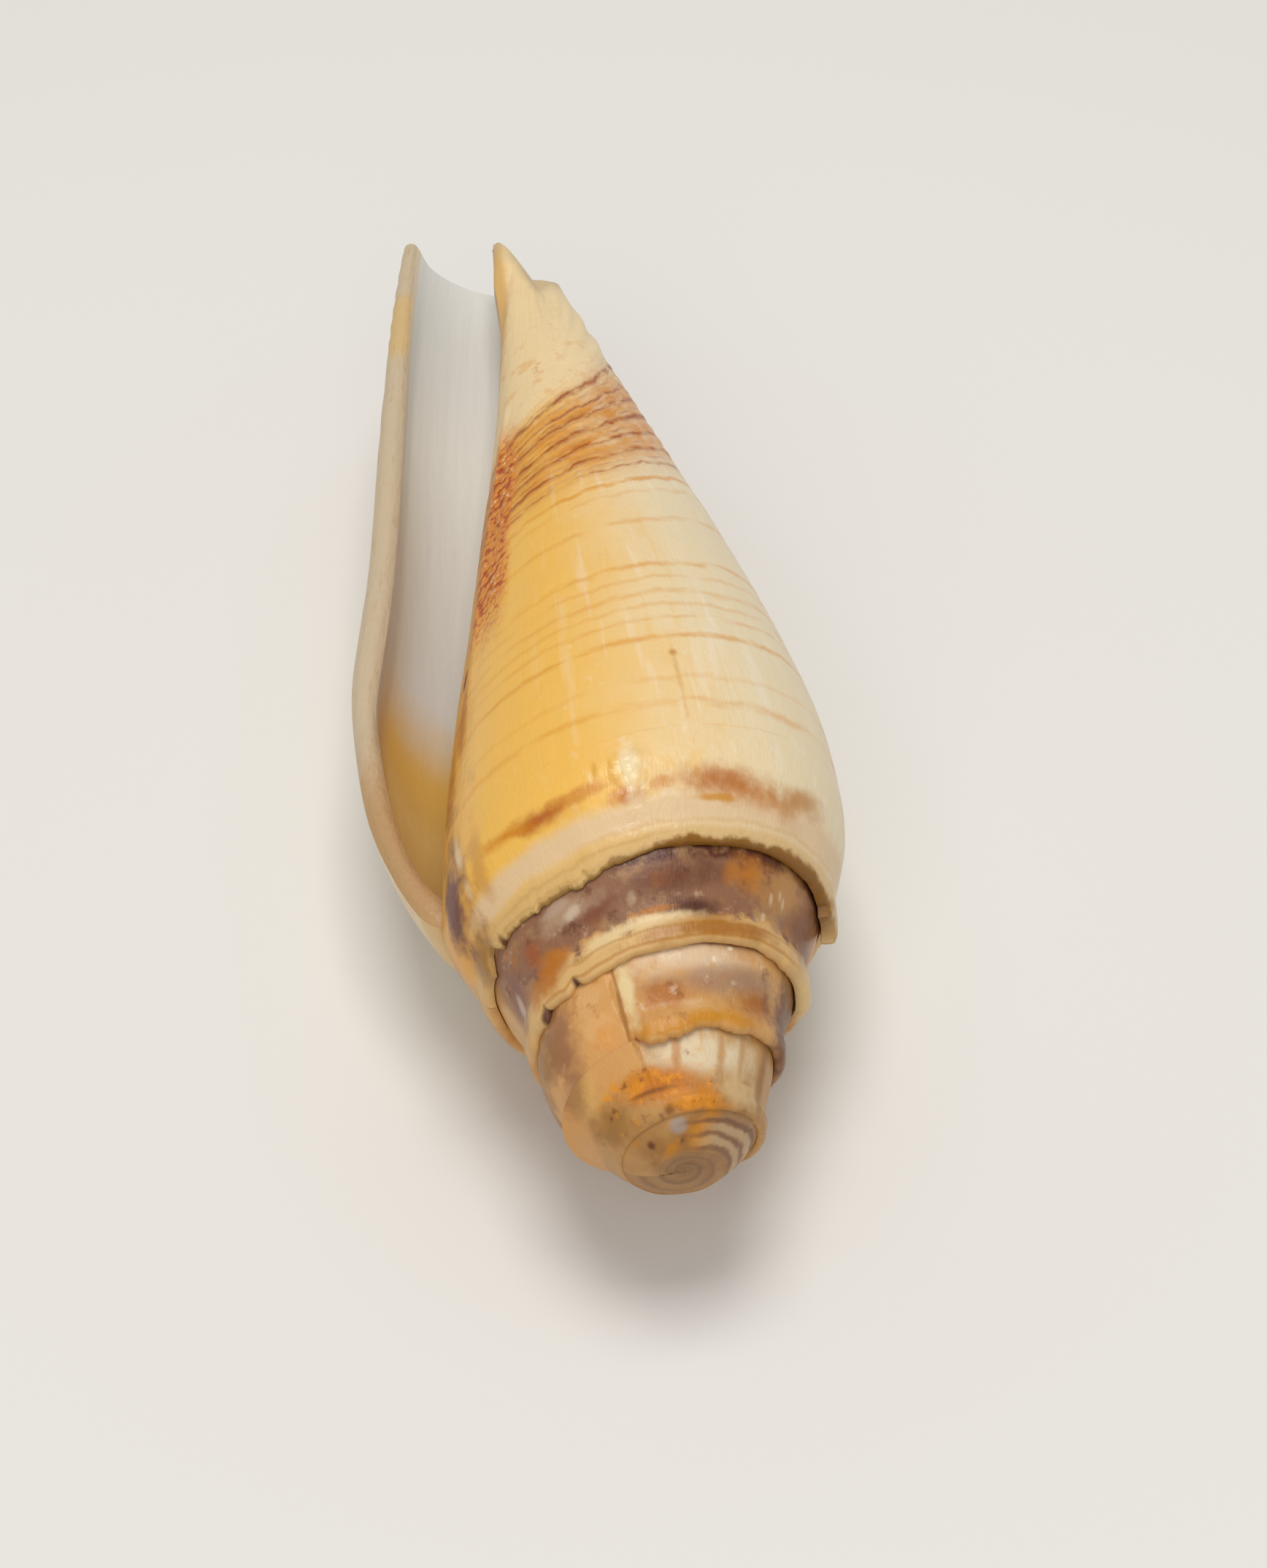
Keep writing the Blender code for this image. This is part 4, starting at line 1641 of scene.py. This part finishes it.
@dataclass(frozen=True)
class EdgeFinish:
    """The face of the lip and of the anterior edge: pinkish cream with a yellow patch."""

    base: str = "C4B297"
    yellow: str = "CFAE74"
    tan: str = "B08450"

    def material(self) -> bpy.types.Material:
        """The lip's material."""
        nodes = Nodes("shell_lip")
        along, turn = nodes.field("along"), nodes.field("turn")
        slow = nodes.grain(300)
        layered = nodes.streaks(turn * 5, along * 16, 3.0)
        colour = nodes.coats(
            tint(self.base),
            (self.yellow, (along + slow * 0.06).between(1.75, 1.88, 0.02) * 0.7),
            (self.tan, (along + slow * 0.4).ease(1.05, 0.7) * 0.7),
            (self.tan, layered.ease(0.08, 0.25) * 0.5),
        )
        nodes.bump(nodes.grain(2000) + layered, 0.06 * MM)
        return nodes.finish(colour, slow * 0.2 + 0.4, 0.1)


@dataclass(frozen=True)
class CoreFinish:
    """The smooth tan columella."""

    base: str = "B49468"
    tan: str = "AE8450"

    def material(self) -> bpy.types.Material:
        """The columella's material."""
        nodes = Nodes("shell_columella")
        slow = nodes.grain(260)
        mask = (nodes.field("along") + slow * 0.3).ease(1.9, 1.4)
        colour = nodes.coats(tint(self.base), (self.tan, mask))
        nodes.bump(nodes.grain(1800), 0.04 * MM)
        return nodes.finish(colour, slow * 0.2 + 0.34, 0.15)


@dataclass(frozen=True)
class InsideFinish:
    """The porcelain-like inner face: grey white, cream by the lip, ochre and painted glow deep
    inside.
    """

    white: str = "D9D7D1"
    bright: str = "ECE8DF"
    beige: str = "E6D2B2"
    lip: str = "DAC8AC"
    ochre: str = "F4C46C"
    # Ochre brightened deepest in: painted light for light passing through the thin wall.
    deep_ochre_and_glow: str = "FACE80"

    def material(self) -> bpy.types.Material:
        """The inner face's material."""
        nodes = Nodes("shell_inside")
        turn, along = nodes.field("turn"), nodes.field("along")
        slow = nodes.grain(200)
        by_lip = (turn + slow * 0.01).ease(-0.075, -0.01) * along.ease(1.75, 1.15)
        depth = along + slow * 0.1
        colour = nodes.coats(
            tint(self.bright),
            (self.white, along.ease(1.6, 1.9)),
            (self.beige, by_lip * 0.9),
            (self.ochre, depth.ease(1.2, 1.06)),
            # Ochre growing brighter deeper in: partly its colour, partly painted light through the
            # thin wall.
            (self.deep_ochre_and_glow, depth.ease(1.05, 0.9)),
            (self.lip, (turn + slow * 0.004).ease(-0.012, -0.008)),
        )
        nodes.bump(nodes.streaks(turn * 60, along * 6, 2.0) + nodes.grain(1200) * 0.4, 0.03 * MM)
        return nodes.finish(colour, slow * 0.15 + 0.3, 0.2)


@dataclass(frozen=True)
class Lamp:
    """A square soft light aimed at the shell."""

    name: str
    place: Triple
    size: float
    power: float
    colour: Colour

    def build(self) -> None:
        """Adds the light to the scene."""
        data = bpy.data.lights.new(self.name, "AREA")
        data.size, data.energy, data.color = self.size, self.power, self.colour
        place = Vector(self.place)
        put(self.name, data).matrix_world = aimed(place, -place)


@dataclass(frozen=True)
class Studio:
    """Pale floor, soft lights and the camera at the photo's viewing angle."""

    camera_place: Vector = Vector((-10.805, -101.573, 104.084)) * MM
    camera_aim: Vector = Vector((0.5, -17.675, 19.035)) * MM
    image_height: int = 2149
    focal: float = 4000.0
    sensor: float = 36.0
    nearest: float = 0.005
    floor_size: float = 12.0
    floor_colour: str = "E4E2DE"
    surround: Colour = (1.0, 0.99, 0.97)
    surround_power: float = 0.42
    lamps: tuple[Lamp, ...] = (
        Lamp("key", (0.0, 0.02, 0.45), 0.2, 1.05, (1.0, 0.98, 0.95)),
        Lamp("front", (-0.12, -0.5, 0.42), 0.45, 1.2, (1.0, 1.0, 1.0)),
    )

    def camera(self) -> None:
        """The camera, level and aimed at the shell."""
        data = bpy.data.cameras.new("camera")
        data.sensor_fit = "VERTICAL"
        data.sensor_height = self.sensor
        data.lens = self.focal * self.sensor / self.image_height
        data.clip_start = self.nearest
        camera = put("camera", data)
        camera.matrix_world = aimed(self.camera_place, self.camera_aim - self.camera_place)
        bpy.context.scene.camera = camera

    def floor(self) -> None:
        """The pale floor."""
        half = self.floor_size / 2
        data = bpy.data.meshes.new("floor")
        corners = [(-half, -half, 0), (half, -half, 0), (half, half, 0), (-half, half, 0)]
        data.from_pydata(corners, [], [(0, 1, 2, 3)])
        data.materials.append(Nodes("floor_pale").finish(tint(self.floor_colour), 0.7))
        floor = put("floor", data)

    def world(self) -> None:
        """An even, dim surround."""
        world = bpy.data.worlds.new("surround")
        world.use_nodes = True
        background = world.node_tree.nodes["Background"]
        background.inputs["Color"].default_value = (*self.surround, 1.0)
        background.inputs["Strength"].default_value = self.surround_power
        bpy.context.scene.world = world

    def build(self) -> None:
        """Sets up everything that isn't the shell."""
        self.camera()
        self.floor()
        self.world()
        for lamp in self.lamps:
            lamp.build()
        bpy.context.scene.view_settings.view_transform = "Standard"


def main() -> None:
    """Builds the studio and the shell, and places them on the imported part."""
    logging.basicConfig(level=logging.INFO, format="%(name)s: %(message)s")
    Studio().build()
    surfaces = Surfaces()
    seat = Seat().matrix()
    outside = Outside(surfaces, seat).build()
    inside = Inside(surfaces, seat).build()
    whorls = (LAST_WHORL, THIRD_WHORL, SECOND_WHORL, FIRST_WHORLS)
    for finish in (*whorls, EdgeFinish(), CoreFinish()):
        outside.data.materials.append(finish.material())
    inside.data.materials.append(InsideFinish().material())
    for piece in (outside, inside):
        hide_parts(NODE)
        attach(piece, BODY)
        LOG.info("%s: %d faces", piece.name, len(piece.data.polygons))


if __name__ == "__main__":
    main()
